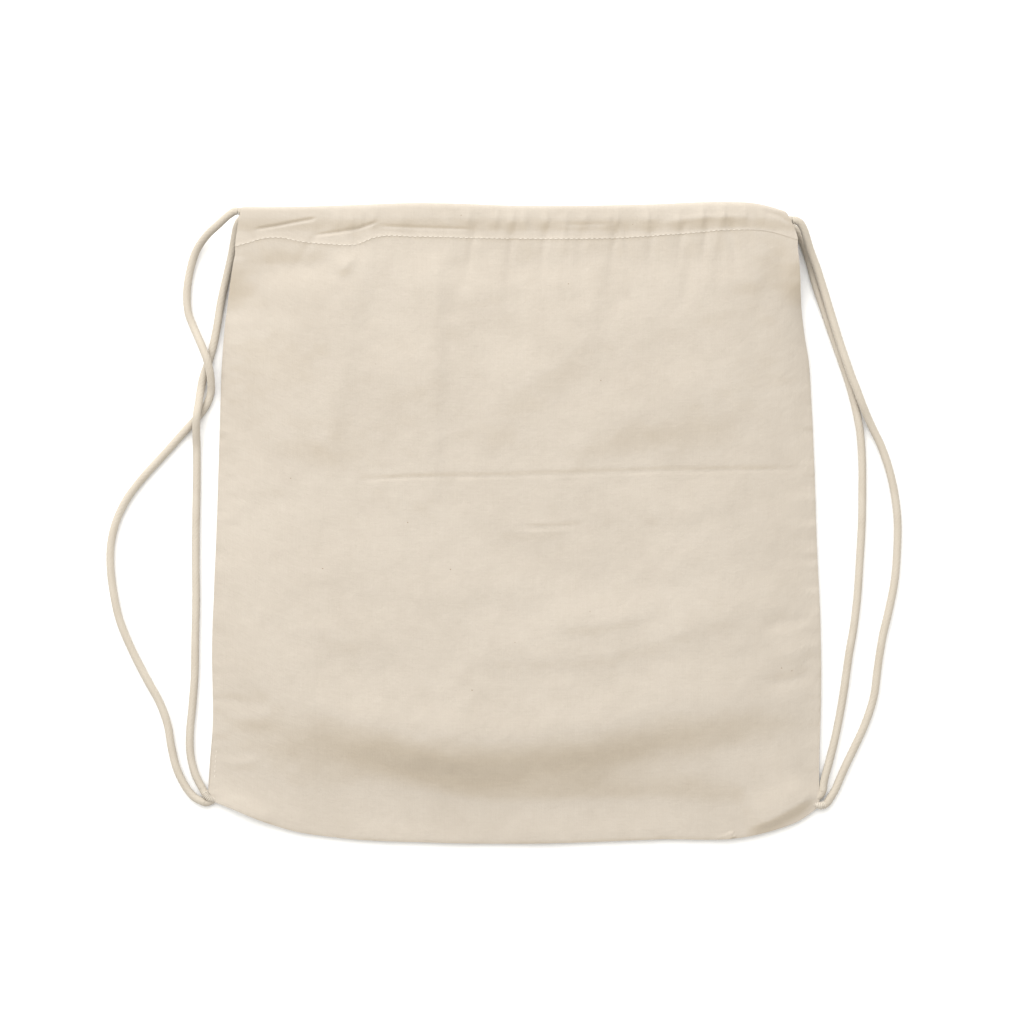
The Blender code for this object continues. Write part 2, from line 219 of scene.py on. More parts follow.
# Weave and colours, which are linear
THREAD_PITCH = 0.00048
CLOTH_LIGHT = (0.512, 0.460, 0.396)
CLOTH_DARK = (0.440, 0.388, 0.326)
CORD_LIGHT = (0.520, 0.472, 0.402)
CORD_DARK = (0.440, 0.388, 0.318)
# Painted shade: multiplied into the cloth's colour where it faces the bottom of the bag, away from the key
# light
PAINTED_SHADE_TINT = (1.02, 0.985, 0.92)
THREAD_LIGHT = (0.640, 0.590, 0.520)
THREAD_DARK = (0.560, 0.510, 0.440)
SEED_COLOUR = (0.20, 0.12, 0.06)
FLOOR_COLOUR = (0.92, 0.92, 0.92)
KEY_COLOUR = (1.0, 1.0, 0.995)
WORLD_COLOUR = (1.0, 0.985, 0.945)

# The four free strands: from just outside a casing down to a bottom corner, on the floor beside the bag.
LEFT_FRONT_ROUTE = [
    (-0.1745, 0.1935, 0.0178), (-0.1795, 0.1903, 0.0166), (-0.1850, 0.1859, 0.0139),
    (-0.1899, 0.1822, 0.0108), (-0.1943, 0.1782, 0.0078), (-0.1985, 0.1730, 0.0050),
    (-0.2016, 0.1668, 0.0034), (-0.2040, 0.1585, 0.0027), (-0.2056, 0.1495, 0.0026),
    (-0.2061, 0.1405, 0.0026), (-0.2051, 0.1315, 0.0028), (-0.2022, 0.1238, 0.0036),
    (-0.1989, 0.1166, 0.0054), (-0.1956, 0.1094, 0.0076), (-0.1929, 0.1026, 0.0089),
    (-0.1912, 0.0956, 0.0080), (-0.1906, 0.0886, 0.0056), (-0.1910, 0.0816, 0.0032),
    (-0.1936, 0.0742, 0.0026), (-0.1989, 0.0666, 0.0026), (-0.2068, 0.0581, 0.0026),
    (-0.2193, 0.0440, 0.0026), (-0.2322, 0.0299, 0.0026), (-0.2430, 0.0160, 0.0026),
    (-0.2502, 0.0016, 0.0026), (-0.2537, -0.0130, 0.0026), (-0.2541, -0.0267, 0.0026),
    (-0.2526, -0.0410, 0.0026), (-0.2487, -0.0600, 0.0026), (-0.2413, -0.0785, 0.0026),
    (-0.2318, -0.0973, 0.0026), (-0.2232, -0.1130, 0.0026), (-0.2182, -0.1270, 0.0026),
    (-0.2158, -0.1410, 0.0026), (-0.2126, -0.1540, 0.0026), (-0.2074, -0.1650, 0.0026),
    (-0.2016, -0.1723, 0.0026), (-0.1950, -0.1758, 0.0026),
]
LEFT_BACK_ROUTE = [
    (-0.1655, 0.1935, 0.0038), (-0.1694, 0.1924, 0.0038), (-0.1726, 0.1896, 0.0037),
    (-0.1745, 0.1856, 0.0035), (-0.1755, 0.1806, 0.0032), (-0.1767, 0.1742, 0.0029),
    (-0.1783, 0.1664, 0.0027), (-0.1806, 0.1565, 0.0026), (-0.1830, 0.1465, 0.0026),
    (-0.1852, 0.1355, 0.0026), (-0.1870, 0.1240, 0.0026), (-0.1892, 0.1126, 0.0026),
    (-0.1922, 0.1014, 0.0026), (-0.1956, 0.0920, 0.0026), (-0.1972, 0.0844, 0.0032),
    (-0.1980, 0.0756, 0.0066), (-0.1991, 0.0666, 0.0092), (-0.1997, 0.0576, 0.0066),
    (-0.1998, 0.0480, 0.0032), (-0.1998, 0.0380, 0.0026), (-0.2000, 0.0180, 0.0026),
    (-0.2004, -0.0040, 0.0026), (-0.2005, -0.0260, 0.0026), (-0.2003, -0.0480, 0.0026),
    (-0.2008, -0.0720, 0.0026), (-0.2012, -0.0960, 0.0026), (-0.2026, -0.1150, 0.0026),
    (-0.2041, -0.1310, 0.0026), (-0.2039, -0.1450, 0.0026), (-0.2010, -0.1575, 0.0026),
    (-0.1966, -0.1666, 0.0026),
]
RIGHT_FRONT_ROUTE = [
    (0.1745, 0.1879, 0.0177), (0.1776, 0.1861, 0.0169), (0.1799, 0.1824, 0.0156), (0.1818, 0.1774, 0.0136),
    (0.1839, 0.1714, 0.0112), (0.1864, 0.1652, 0.0094), (0.1889, 0.1592, 0.0082), (0.1916, 0.1510, 0.0074),
    (0.1944, 0.1420, 0.0071), (0.1975, 0.1315, 0.0074), (0.2007, 0.1210, 0.0076), (0.2040, 0.1105, 0.0078),
    (0.2074, 0.1005, 0.0079), (0.2106, 0.0915, 0.0077), (0.2140, 0.0830, 0.0074), (0.2176, 0.0738, 0.0066),
    (0.2210, 0.0662, 0.0047), (0.2250, 0.0580, 0.0031), (0.2296, 0.0487, 0.0026), (0.2346, 0.0345, 0.0026),
    (0.2382, 0.0190, 0.0026), (0.2402, 0.0016, 0.0026), (0.2400, -0.0170, 0.0026),
    (0.2384, -0.0365, 0.0026), (0.2348, -0.0550, 0.0026), (0.2306, -0.0730, 0.0026),
    (0.2278, -0.0910, 0.0026), (0.2254, -0.1090, 0.0026), (0.2200, -0.1260, 0.0026),
    (0.2137, -0.1400, 0.0026), (0.2084, -0.1510, 0.0026), (0.2044, -0.1600, 0.0026),
    (0.2006, -0.1686, 0.0026), (0.1959, -0.1760, 0.0026),
]
RIGHT_BACK_ROUTE = [
    (0.1655, 0.1880, 0.0038), (0.1708, 0.1872, 0.0038), (0.1755, 0.1842, 0.0036), (0.1788, 0.1797, 0.0033),
    (0.1813, 0.1740, 0.0030), (0.1835, 0.1677, 0.0027), (0.1857, 0.1607, 0.0026), (0.1883, 0.1505, 0.0026),
    (0.1914, 0.1410, 0.0026), (0.1948, 0.1310, 0.0026), (0.1982, 0.1210, 0.0026), (0.2018, 0.1105, 0.0026),
    (0.2052, 0.1010, 0.0026), (0.2082, 0.0920, 0.0026), (0.2110, 0.0830, 0.0026), (0.2134, 0.0740, 0.0026),
    (0.2153, 0.0650, 0.0026), (0.2169, 0.0550, 0.0026), (0.2180, 0.0380, 0.0026), (0.2181, 0.0200, 0.0026),
    (0.2178, 0.0000, 0.0026), (0.2166, -0.0220, 0.0026), (0.2151, -0.0450, 0.0026),
    (0.2128, -0.0650, 0.0026), (0.2097, -0.0830, 0.0026), (0.2069, -0.1030, 0.0026),
    (0.2039, -0.1210, 0.0026), (0.2006, -0.1370, 0.0026), (0.1970, -0.1510, 0.0026),
    (0.1943, -0.1610, 0.0026), (0.1931, -0.1687, 0.0026),
]


# ---- small helpers


def ease(low, high, value):
    """0 below low, 1 above high, with a smooth turn between."""
    t = np.clip((value - low) / (high - low), 0, 1)
    return t * t * (3 - 2 * t)


def mixed(a, b, share):
    """a where share is 0, and b where it is 1."""
    return a + (b - a) * share


def smooth_line(points):
    """A function that follows points (place, value), given in thousandths, with a smooth line."""
    places, values = np.array(points, float).T * MM
    slopes = np.gradient(values, places)

    def at(place):
        place = np.clip(place, places[0], places[-1])
        i = np.clip(np.searchsorted(places, place) - 1, 0, len(places) - 2)
        span = places[i + 1] - places[i]
        t = (place - places[i]) / span
        start = values[i] * (1 + 2 * t) * (1 - t) ** 2 + slopes[i] * span * t * (1 - t) ** 2
        return start + values[i + 1] * t * t * (3 - 2 * t) + slopes[i + 1] * span * t * t * (t - 1)

    return at


def distances(line):
    """How far along a line each of its points lies."""
    return np.concatenate([[0], np.cumsum(np.linalg.norm(np.diff(line, axis=0), axis=1))])


def points_at(places, line, along=None):
    """The points of a line at these distances along it."""
    along = distances(line) if along is None else along
    return np.stack([np.interp(places, along, line[:, i]) for i in range(3)], axis=-1)


def placed(name, data):
    """A new object in the scene."""
    ob = bpy.data.objects.new(name, data)
    bpy.context.scene.collection.objects.link(ob)
    return ob


def joined(name, parts, material):
    """One piece made of several."""
    ob = parts[0]
    if len(parts) > 1:
        with bpy.context.temp_override(active_object=ob, selected_editable_objects=parts):
            bpy.ops.object.join()
    ob.name = name
    ob.data.name = name
    ob.data.materials.append(material)
    return ob


def vertex_of_corners(mesh):
    """The vertex at each corner of each face."""
    corners = np.zeros(len(mesh.loops), np.int32)
    mesh.loops.foreach_get("vertex_index", corners)
    return corners


def soft_noise(x, y, size, seed):
    """Smooth seeded noise from -1 to 1, with features of about size."""
    lattice = np.random.default_rng(seed).uniform(-1, 1, (512, 512))
    px, py = x / size + 255.5, y / size + 255.5
    ix, iy = np.floor(px).astype(int), np.floor(py).astype(int)
    fx, fy = px - ix, py - iy
    fx, fy = fx**3 * (fx * (6 * fx - 15) + 10), fy**3 * (fy * (6 * fy - 15) + 10)
    ix, iy = ix % 511, iy % 511
    low = mixed(lattice[iy, ix], lattice[iy, ix + 1], fx)
    return mixed(low, mixed(lattice[iy + 1, ix], lattice[iy + 1, ix + 1], fx), fy)


def fold(x, y, line, width, height, taper, skew=0.0):
    """A soft ridge along a line of (x, y) in millimetres, or a groove if height is negative.
    skew makes the side to the left of the line's direction wider."""
    line = np.array(line, float) * MM
    lengths = np.hypot(*np.diff(line, axis=0).T)
    total, done = lengths.sum(), 0.0
    nearest, share = np.full(x.shape, 9.0), np.zeros(x.shape)
    for (ax, ay), (bx, by), length in zip(line, line[1:], lengths):
        dx, dy = (bx - ax) / length, (by - ay) / length
        t = np.clip((x - ax) * dx + (y - ay) * dy, 0, length)
        away_x, away_y = x - ax - t * dx, y - ay - t * dy
        left = dx * away_y - dy * away_x > 0
        distance = np.hypot(away_x, away_y) / np.where(left, 1 + skew, 1)
        closer = distance < nearest
        nearest = np.where(closer, distance, nearest)
        share = np.where(closer, (done + t) / total, share)
        done += length
    ends = ease(0, taper, share) * ease(0, taper, 1 - share)
    return height * MM * ends * np.exp(-((nearest / (width * MM)) ** 2))


bottom_line = smooth_line(BOTTOM_LINE)
hem_line = smooth_line(HEM_LINE)
mouth_line = smooth_line(MOUTH_LINE)
left_side = smooth_line(LEFT_SIDE)
right_side = smooth_line(RIGHT_SIDE)
SIDE_BOTTOM_Y = LEFT_SIDE[0][0] * MM


# ---- the cloth's shape

# Folds of the front panel: line, width and height in millimetres, taper, and skew where it has one
FRONT_FOLDS = [
    # the packing crease across the middle
    ([(-108, 26.4), (-60, 28.5), (-9, 29), (44, 31), (92, 32.3), (150, 33), (187, 34.2)], 1.0, -0.44, 0.12),
    ([(-108, 29.9), (-9, 32.5), (92, 35.8), (187, 37.5)], 3.0, 0.2, 0.15, 0.5),
    ([(-2, -2.4), (16, -2.8), (34, -2.0), (46, -1.4)], 1.0, -0.85, 0.3),
    ([(-20, -6), (8, -5), (30, -3), (50, 4)], 5, 0.5, 0.35, 0.5),
    ([(-123, -80), (-123.5, -120), (-122, -176)], 1.2, -0.3, 0.2),
    # pressed folds that run down from the hem, each with a wide left face
    ([(-119, 33), (-115, 59), (-103.6, 121), (-92, 176)], 9, 1.25, 0.12, 2.6),
    ([(-52, 0), (-51, 33), (-50, 100), (-49, 176)], 6, 1.15, 0.12, 3.2),
    ([(-12, 132), (-10, 150), (-8, 178)], 6, 0.8, 0.3, 0.8),
    ([(44, 112), (50, 140), (56, 178)], 8, 0.9, 0.3, 0.6),
    ([(96, 112), (106, 146), (116, 180)], 6, -0.45, 0.3),
    ([(146, 140), (150, 158), (156, 176)], 7, 0.9, 0.3, 0.8),
    # the hollow under the left end of the hem, and the ridge beside it
    ([(-170, 156), (-150, 158), (-128, 162), (-106, 168)], 9, -1.6, 0.3),
    ([(-112, 152), (-102, 164), (-93, 177)], 4.0, 1.2, 0.3, 0.8),
    # long soft diagonals with the light on their upper left faces
    ([(-34, 60), (6, 86), (44, 116), (70, 128)], 15, 1.7, 0.35, 0.8),
    ([(6, 34), (36, 48), (68, 62), (112, 68), (165, 70)], 13, 1.5, 0.3, 0.7),
    ([(60, 4), (100, 8), (150, 18)], 9, 0.7, 0.35, 0.5),
    ([(14, -66), (50, -62), (98, -54)], 6, 1.3, 0.35, 1.2),
    ([(-90, -40), (-40, -46), (20, -36)], 9, 0.8, 0.35, 0.8),
    ([(-60, -78), (0, -84), (60, -80), (120, -62), (180, -44)], 8, 0.9, 0.3, 1.2),
    ([(-150, -60), (-110, -70), (-70, -74)], 9, 0.8, 0.35, 0.5),
    # side wrinkles
    ([(192, -52), (176, -62), (150, -66)], 5.0, -0.8, 0.35),
    ([(193, -72), (178, -80), (160, -84)], 5.0, 0.6, 0.35),
    ([(193, -88), (178, -98), (150, -102)], 5.0, -0.8, 0.35),
    ([(-190, -108), (-172, -114), (-146, -112)], 6, -0.7, 0.35),
    ([(-190, -124), (-172, -130), (-140, -132)], 6, -0.7, 0.35),
    ([(-190, -150), (-176, -152), (-158, -149)], 4.0, 0.9, 0.3),
    # the bottom corners roll under
    ([(142, -192), (158, -186.5), (175, -177.5), (190, -166)], 5.0, 4.5, 0.3, 2.8),
    ([(-193, -172.5), (-181, -177.5), (-166, -184), (-148, -190)], 2.6, 1.7, 0.25, 1.8),
]
# Puckers that cross the hem stitching: x of the middle in millimetres, lean, width, height
PUCKERS = [
    (-162, -10, 3.2, -0.5), (-127, 12, 3.0, -0.5), (-99, -4, 3.2, -0.8), (-90, -4, 2.6, 0.5),
    (-64, -5, 3.0, -0.6), (-40, -2, 3.0, 0.5), (-26, 4, 2.6, -0.8), (-2, 2, 2.6, -0.95), (8, -3, 2.4, 0.45),
    (18.5, 2, 2.4, -0.85), (30, 2, 2.6, 0.45), (41, 2, 2.8, -0.6), (62, 3, 2.4, -0.95), (69, -2, 2.2, -0.6),
    (85, 2, 2.6, -0.95), (94, -2, 2.6, 0.5), (103.6, 3, 2.4, -0.8), (118.7, 2, 2.4, -0.95),
    (126, 2, 2.4, 0.5), (134, -4, 2.8, -0.9), (148, -4, 3.2, 0.4),
]
# Creases in the casing itself
CASING_FOLDS = [
    ([(-163, 181.8), (-148, 184.2), (-137, 186.4), (-122, 188.9)], 0.9, -0.95, 0.15),
    ([(-126, 178.2), (-110, 180.4), (-97, 182.6), (-84, 187)], 0.9, -0.95, 0.15),
    ([(-88, 184.2), (-58, 183), (-24, 182)], 1.0, -0.6, 0.2),
    ([(20, 185.2), (38, 184.9), (66, 185.6)], 1.0, -0.25, 0.4),
    ([(88, 186), (120, 189.5), (150, 190)], 2.2, 0.35, 0.3),
    ([(152, 194), (164, 190.5), (174, 184)], 1.6, -0.4, 0.3),
]
# Upright gathers of the casing: x, lowest and highest y in millimetres, height
CASING_TUCKS = [
    (-110, 177, 200, 0.45), (-101, 176, 202, 0.8), (-95.5, 176, 202, 0.7), (-88, 178, 200, 0.5),
    (-70, 177, 196, 0.4), (-42, 177, 195, 0.4), (-29, 175, 202, 0.8), (-12, 175, 199, 0.85),
    (-2, 175, 199, 1.0), (6, 175, 199, 0.8), (19, 176, 199, 1.0), (31, 175, 195, 0.8),
    (43.5, 176, 198, 0.6), (58, 174, 201, 0.95), (63, 175, 199, 0.7), (82, 176, 200, 1.0),
    (87, 177, 198, 0.45), (101, 176, 196, 0.85), (116, 178, 203, 0.95), (129, 179, 202, 0.95),
    (142, 181, 202, 0.45), (153, 181, 200, 0.35),
]
TUCK_WIDTH = 1.6
TUCK_TAPER = 0.5
TUCK_SKEW = 1.8
STEP_LINE = [
    (-195, -134), (-135, -140), (-91, -146), (-47, -152.5), (-9, -153.5), (41, -149), (85, -140),
    (129, -132), (195, -121),
]
STEP_STRENGTH = [
    (-195, 240), (-150, 390), (-110, 580), (-70, 890), (-20, 1050), (50, 1000), (90, 860), (129, 560),
    (165, 240), (195, 60),
]
STEP_DROP = 0.0086
STEP_HALF_WIDTH = 0.0112
STEP_SWELL = 0.0022
STEP_SWELL_ABOVE = 0.020
STEP_SWELL_WIDTH = 0.019
SIDE_WRINKLE_REACH = 0.010
SIDE_WRINKLE_HEIGHT = 0.00042
HANGING_FOLD_REACH = 0.06
HANGING_FOLD_HEIGHT = 0.0003
HEM_RIB_HEIGHT = 0.0002
HEM_RIB_WIDTH = 0.0011
UNDER_HEM_DIP = 0.0009
UNDER_HEM_DIP_Y = 0.016
UNDER_HEM_DIP_WIDTH = 0.012
PUCKER_REACH_UP = 0.016
PUCKER_REACH_DOWN = 0.017
# Where (x) the hem stitching sinks into the cloth
HEM_FADE_FROM = 0.134
HEM_FADE_TO = 0.152
step_line = smooth_line(STEP_LINE)
step_strength = smooth_line(STEP_STRENGTH)


def side_lines(y, half_back=None):
    """The left and right edges at y. half_back draws the back sheet in towards its shorter casing."""
    left, right = left_side(y), right_side(y)
    if half_back is not None:
        share = ease(*BACK_NARROWS, y)
        left, right = mixed(left, -half_back, share), mixed(right, half_back, share)
    return left, right


def row_shares(rows):
    """Shares of the way up a panel, closer together at the bottom, at the packing crease and at the top."""
    place = np.linspace(0, 1, 4001)
    crease = (CREASE_Y - SIDE_BOTTOM_Y) / (hem_line(0.0) - SIDE_BOTTOM_Y)
    density = 1 + 2.2 * np.exp(-(((place - crease) / 0.017) ** 2))
    density = density + 0.8 * ease(0.93, 1, place) + ease(0.05, 0, place)
    passed = np.concatenate([[0], np.cumsum((density[1:] + density[:-1]) / 2)])
    return np.interp(np.linspace(0, 1, rows + 1), passed / passed[-1], place)


def body_grid(columns, rows, half_back=None):
    """Points (x, y) of a panel between the bottom line and the hem line, and how far up each one is."""
    u = np.sin(np.linspace(-1, 1, columns + 1) * EDGE_CROWDING) / math.sin(EDGE_CROWDING)
    u[columns // 2] = 0
    v = row_shares(rows)
    u, v = np.meshgrid(u, v)
    hem_ends = hem_line(HEM_LINE[0][0] * MM), hem_line(HEM_LINE[-1][0] * MM)
    side_y = mixed(SIDE_BOTTOM_Y, mixed(*hem_ends, (u + 1) / 2), v)
    left, right = side_lines(side_y, half_back)
    x = mixed(left, right, (u + 1) / 2)
    x -= mixed(left, right, 0.5) * (1 - np.abs(u)) ** 2
    y = mixed(bottom_line(x), hem_line(x), v)
    return x, y, v


def seam_height(v):
    """The side seam climbs a little from the floor towards the mouth."""
    return SEAM_Z + SEAM_RISE * ease(*SIDE_SEAM_CLIMB, v)


def round_edge(distance, radius):
    """A quarter round: 0 at the edge and 1 from radius inwards."""
    t = 1 - np.clip(distance / radius, 0, 1)
    return np.sqrt(np.clip(1 - t * t, 0, 1))


def front_rise(distance, slope_length):
    """How much of the bag's height the front has reached at this distance from an edge."""
    slow = 1 - np.exp(-np.clip(distance, 0, None) / slope_length)
    return FRONT_EDGE_SHARE * round_edge(distance, FRONT_EDGE_RADIUS) + (1 - FRONT_EDGE_SHARE) * slow


def ruffle(x, y):
    """Low, middle and fine unevenness of worn cotton."""
    low = 0.8 * soft_noise(x, y * 1.2, 0.06, 3) + 0.5 * soft_noise(x + 0.4 * y, y - 0.4 * x, 0.026, 5)
    fine = 0.17 * soft_noise(x, y, 0.009, 7) + 0.05 * soft_noise(x, y, 0.0042, 9)
    return (low + fine) * MM


def side_wrinkles(x, y, left, right):
    """Short wrinkles that run in from both side seams."""
    inside = np.minimum(x - left, right - x)
    waves = soft_noise(x * 0.35, y, 0.0042, 11) + 0.6 * soft_noise(x * 0.3, y, 0.0085, 13)
    return SIDE_WRINKLE_HEIGHT * waves * np.exp(-np.clip(inside, 0, None) / SIDE_WRINKLE_REACH)


def hanging_folds(x, y, hem):
    """Fine upright unevenness below the hem stitching."""
    streaks = soft_noise(x, y * 0.10, 0.0065, 15) + 0.8 * soft_noise(x, y * 0.12, 0.014, 16)
    return HANGING_FOLD_HEIGHT * streaks * np.exp(-np.clip(hem - y, 0, None) / HANGING_FOLD_REACH)


def pucker_field(x, y):
    """Gathers of the hem stitching, fading out above and below it."""
    hem = hem_line(x)
    above = np.exp(-((np.clip(y - hem, 0, None) / PUCKER_REACH_UP) ** 2))
    below = np.exp(-((np.clip(hem - y, 0, None) / PUCKER_REACH_DOWN) ** 1.5))
    total = np.zeros(x.shape)
    for middle, lean, width, height in PUCKERS:
        centre = middle * MM + lean * MM * (y - hem) / 0.02
        total += height * MM * np.exp(-(((x - centre) / (width * MM)) ** 2))
    return total * above * below


def hem_rib(x, y):
    """The doubled cloth stands up a little along the stitching."""
    rib = HEM_RIB_HEIGHT * np.exp(-(((y - hem_line(x)) / HEM_RIB_WIDTH) ** 2))
    return rib * ease(HEM_FADE_TO, HEM_FADE_FROM, x)


def bottom_shape(x, y):
    """The swell above the bottom of the bag, and the soft step down from it."""
    strength = step_strength(x)
    above = y - step_line(x)
    swell = STEP_SWELL * np.exp(-(((above - STEP_SWELL_ABOVE) / STEP_SWELL_WIDTH) ** 2))
    return strength * (swell - STEP_DROP * (1 - np.tanh(above / STEP_HALF_WIDTH)) / 2)


def front_height(x, y, v):
    """The height of the front's outer face: an even cushion, and every fold and wrinkle on it."""
    opening = ease(OPENING_FROM, 1, v)
    hem_z = FRONT_CASING_Z + FRONT_HEM_LIFT
    edge = mixed(seam_height(v), hem_z, opening)
    top = CROWN_Z + (hem_z - CROWN_Z) * ease(CROWN_UNTIL, 1, v)
    left, right = side_lines(y)
    above_bottom = y - bottom_line(x)
    slope_length = mixed(FRONT_SLOPE_LENGTH, TOP_SLOPE_LENGTH, ease(CROWN_UNTIL, STEEP_SIDES_FROM, v))
    rise = front_rise(x - left, slope_length) * front_rise(right - x, slope_length)
    span = mixed(*BOTTOM_RISE, ease(*BOTTOM_RISE_CHANGE, x)) + BOTTOM_RISE_START
    slow = ease(0, 1, (above_bottom + BOTTOM_RISE_START) / span)
    edge_round = round_edge(above_bottom, BOTTOM_EDGE_RADIUS)
    rise *= BOTTOM_EDGE_SHARE * edge_round + (1 - BOTTOM_EDGE_SHARE) * slow
    shape = bottom_shape(x, y) * ease(-0.002, 0.03, above_bottom)
    shape += ruffle(x, y) * ease(0, 0.02, np.minimum(x - left, right - x))
    shape += side_wrinkles(x, y, left, right) + hanging_folds(x, y, hem_line(x))
    for place in FRONT_FOLDS:
        shape += fold(x, y, *place)
    shape *= 1 - FOLDS_FADED * ease(FOLDS_FADE_FROM, 1, v)
    shape -= UNDER_HEM_DIP * np.exp(-(((hem_line(x) - y - UNDER_HEM_DIP_Y) / UNDER_HEM_DIP_WIDTH) ** 2))
    shape += pucker_field(x, y) + hem_rib(x, y)
    height = edge + (top - edge) * mixed(rise, 1, opening) + shape
    above_lowest = np.clip((height - FRONT_LOWEST_Z) / FLOOR_SOFTNESS, -20, 40)
    return FRONT_LOWEST_Z + FLOOR_SOFTNESS * np.log1p(np.exp(above_lowest))


def back_height(x, y, v):
    """The height of the back's outer face, which lies on the floor and turns up at its edges."""
    opening = ease(OPENING_FROM, 1, v)
    edge = mixed(seam_height(v), BACK_CASING_Z, opening)
    left, right = side_lines(y, BACK_CASING_HALF)
    inside = np.minimum(np.minimum(x - left, right - x), y - bottom_line(x))
    rest = mixed(BACK_REST_Z, BACK_CASING_Z, opening)
    shape = 0.15 * MM * (1 + soft_noise(x, y, 0.02, 21)) * (1 - ease(0.9, 1, v))
    return edge + (rest - edge) * mixed(round_edge(inside, BACK_EDGE_RADIUS), 1, opening) + shape


def casing_height(y, hem, mouth, start):
    """The casing's rounding over the two cords: start at the hem stitching, and 0 at the mouth edge."""
    foot = np.maximum(hem + 0.0004, CASING_FOOT_Y)
    low = np.clip((LANE_MIDDLE_Y - y) / (LANE_MIDDLE_Y - foot), 0, 1)
    high = np.clip((y - LANE_MIDDLE_Y) / (mouth - LANE_MIDDLE_Y), 0, 1)
    rising = mixed(start, CASING_BULGE, (1 - low * low) ** 2)
    return np.where(y < LANE_MIDDLE_Y, rising, CASING_BULGE * np.sqrt(1 - high**5))


def side_field(x, y, side):
    """What the stitching does to the casing: the back one, which lies on the floor, is gathered less."""
    return pucker_field(x, y) * (1 if side > 0 else 0.3) + hem_rib(x, y)


def tuck(x, low_y, high_y, height):
    """A short upright gather of the casing, as a fold with a steep right face."""
    line = [(x, low_y), (x + 0.4, (low_y + high_y) / 2), (x, high_y)]
    return line, TUCK_WIDTH, height, TUCK_TAPER, TUCK_SKEW


def casing_rows(hem_x, mouth_x, z, side):
    """Rows of the casing: from the hem stitching over the outer face to the mouth edge, and back along the
    inner face. side is 1 for the front sheet and -1 for the back one."""
    hem, mouth = hem_line(hem_x), mouth_line(mouth_x)
    share = (1 - np.cos(math.pi * np.arange(1, CASING_ROWS + 1) / CASING_ROWS)) / 2
    back_share = (1 + np.cos(math.pi * np.arange(1, INNER_CASING_ROWS + 1) / INNER_CASING_ROWS)) / 2
    lift = FRONT_HEM_LIFT if side > 0 else 0
    folds = CASING_FOLDS + [tuck(*place) for place in CASING_TUCKS] if side > 0 else []
    rows = []
    for outer, shares in ((True, share), (False, back_share)):
        for t in shares:
            y = mixed(hem, mouth, t)
            x = mixed(hem_x, mouth_x, t**1.5)
            if outer:
                shape = casing_height(y, hem, mouth, lift)
                for line, width, height, *ends in folds:
                    shape += fold(x, y, line, width, height * math.sin(math.pi * t), *ends)
                shape += 0.12 * MM * soft_noise(x, y, 0.008, 31) * math.sin(math.pi * t)
                shape += side_field(x, y, side) * math.sin(math.pi * min(t + 0.5, 1))
            else:
                shape = -casing_height(y, hem, mouth, LAYER_GAP - lift)
            rows.append(np.stack([x, y, z + side * shape], axis=-1))
    return rows


def hem_edge_rows(grid, side):
    """The hem's turned-in edge, just inside the panel."""
    x, y, z = (grid[..., i] for i in range(3))
    rows = []
    for n in range(1, HEM_ROWS + 1):
        row = -1 - 2 * n
        rows.append(np.stack([x[row], y[row], z[row] - side * LAYER_GAP], axis=-1))
    return rows


# ---- cloth meshes


def grid_normals(points, flip):
    """Unit vectors that stand on a grid of points, on its outer side."""
    down, across = np.gradient(points, axis=0), np.gradient(points, axis=1)
    normals = np.cross(across, down) * flip
    return normals / np.maximum(np.linalg.norm(normals, axis=-1, keepdims=True), 1e-12)


def flat_map(points):
    """Where each point lies on the uncut cloth, in metres: x stays, and y is measured along each column."""
    steps = np.linalg.norm(np.diff(points, axis=0), axis=-1)
    along = np.vstack([np.zeros(points.shape[1]), np.cumsum(steps, axis=0)])
    return np.stack([points[..., 0], along + SIDE_BOTTOM_Y], axis=-1)


def boundary(faces):
    """Directed edges that only one face has."""
    edges = {}
    for a, b, c, d in faces:
        for edge in ((a, b), (b, c), (c, d), (d, a)):
            edges[edge] = True
    return [edge for edge in edges if (edge[1], edge[0]) not in edges]


def thick_cloth(name, points, normals, flat, keep, flip):
    """A closed thin solid from a grid of points on its outer face. keep says which cells the cloth covers."""
    rows, columns = points.shape[:2]
    index = np.arange(rows * columns).reshape(rows, columns)
    cells = np.stack([index[:-1, :-1], index[:-1, 1:], index[1:, 1:], index[1:, :-1]], axis=-1)[keep]
    if flip < 0:
        cells = cells[:, ::-1]
    outer = points.reshape(-1, 3)
    inner = (points - normals * CLOTH_THICKNESS).reshape(-1, 3)
    used = np.unique(cells)
    renumber = np.full(rows * columns, -1)
    renumber[used] = np.arange(len(used))
    cells = renumber[cells]
    count = len(used)
    faces = cells.tolist() + (cells[:, ::-1] + count).tolist()
    rims = [(b, a, a + count, b + count) for a, b in boundary(cells.tolist())]
    mesh = bpy.data.meshes.new(name)
    mesh.from_pydata(np.vstack([outer[used], inner[used]]).tolist(), [], faces + rims)
    mesh.update()
    layer = mesh.uv_layers.new(name="cloth")
    corners = vertex_of_corners(mesh)
    flat_used = flat.reshape(-1, 2)[used]
    layer.data.foreach_set("uv", flat_used[corners % count].ravel())
    mesh.shade_smooth()
    used_normals = normals.reshape(-1, 3)[used]
    shading = used_normals[corners % count] * np.where(corners < count, 1, -1)[:, None]
    shading[4 * len(faces):] = 0
    mesh.normals_split_custom_set(shading.tolist())
    return placed(name, mesh)


def add_sheet(name, points, body_rows, flip, material):
    """The front or back sheet, as two halves that meet at X = 0."""
    normals, flat, keep = grid_normals(points, flip), flat_map(points), kept_cells(points, body_rows)
    middle = points.shape[1] // 2
    for side, columns in (("left", slice(0, middle + 1)), ("right", slice(middle, None))):
        cells = slice(0, middle) if side == "left" else slice(middle, None)
        grid = points[:, columns], normals[:, columns], flat[:, columns]
        half = thick_cloth(f"{name}_sheet_{side}_half", *grid, keep[:, cells], flip)
        half.data.materials.append(material)
        settle(half, side, "bag_cloth", f"{name}_panel", f"{name}_casing")


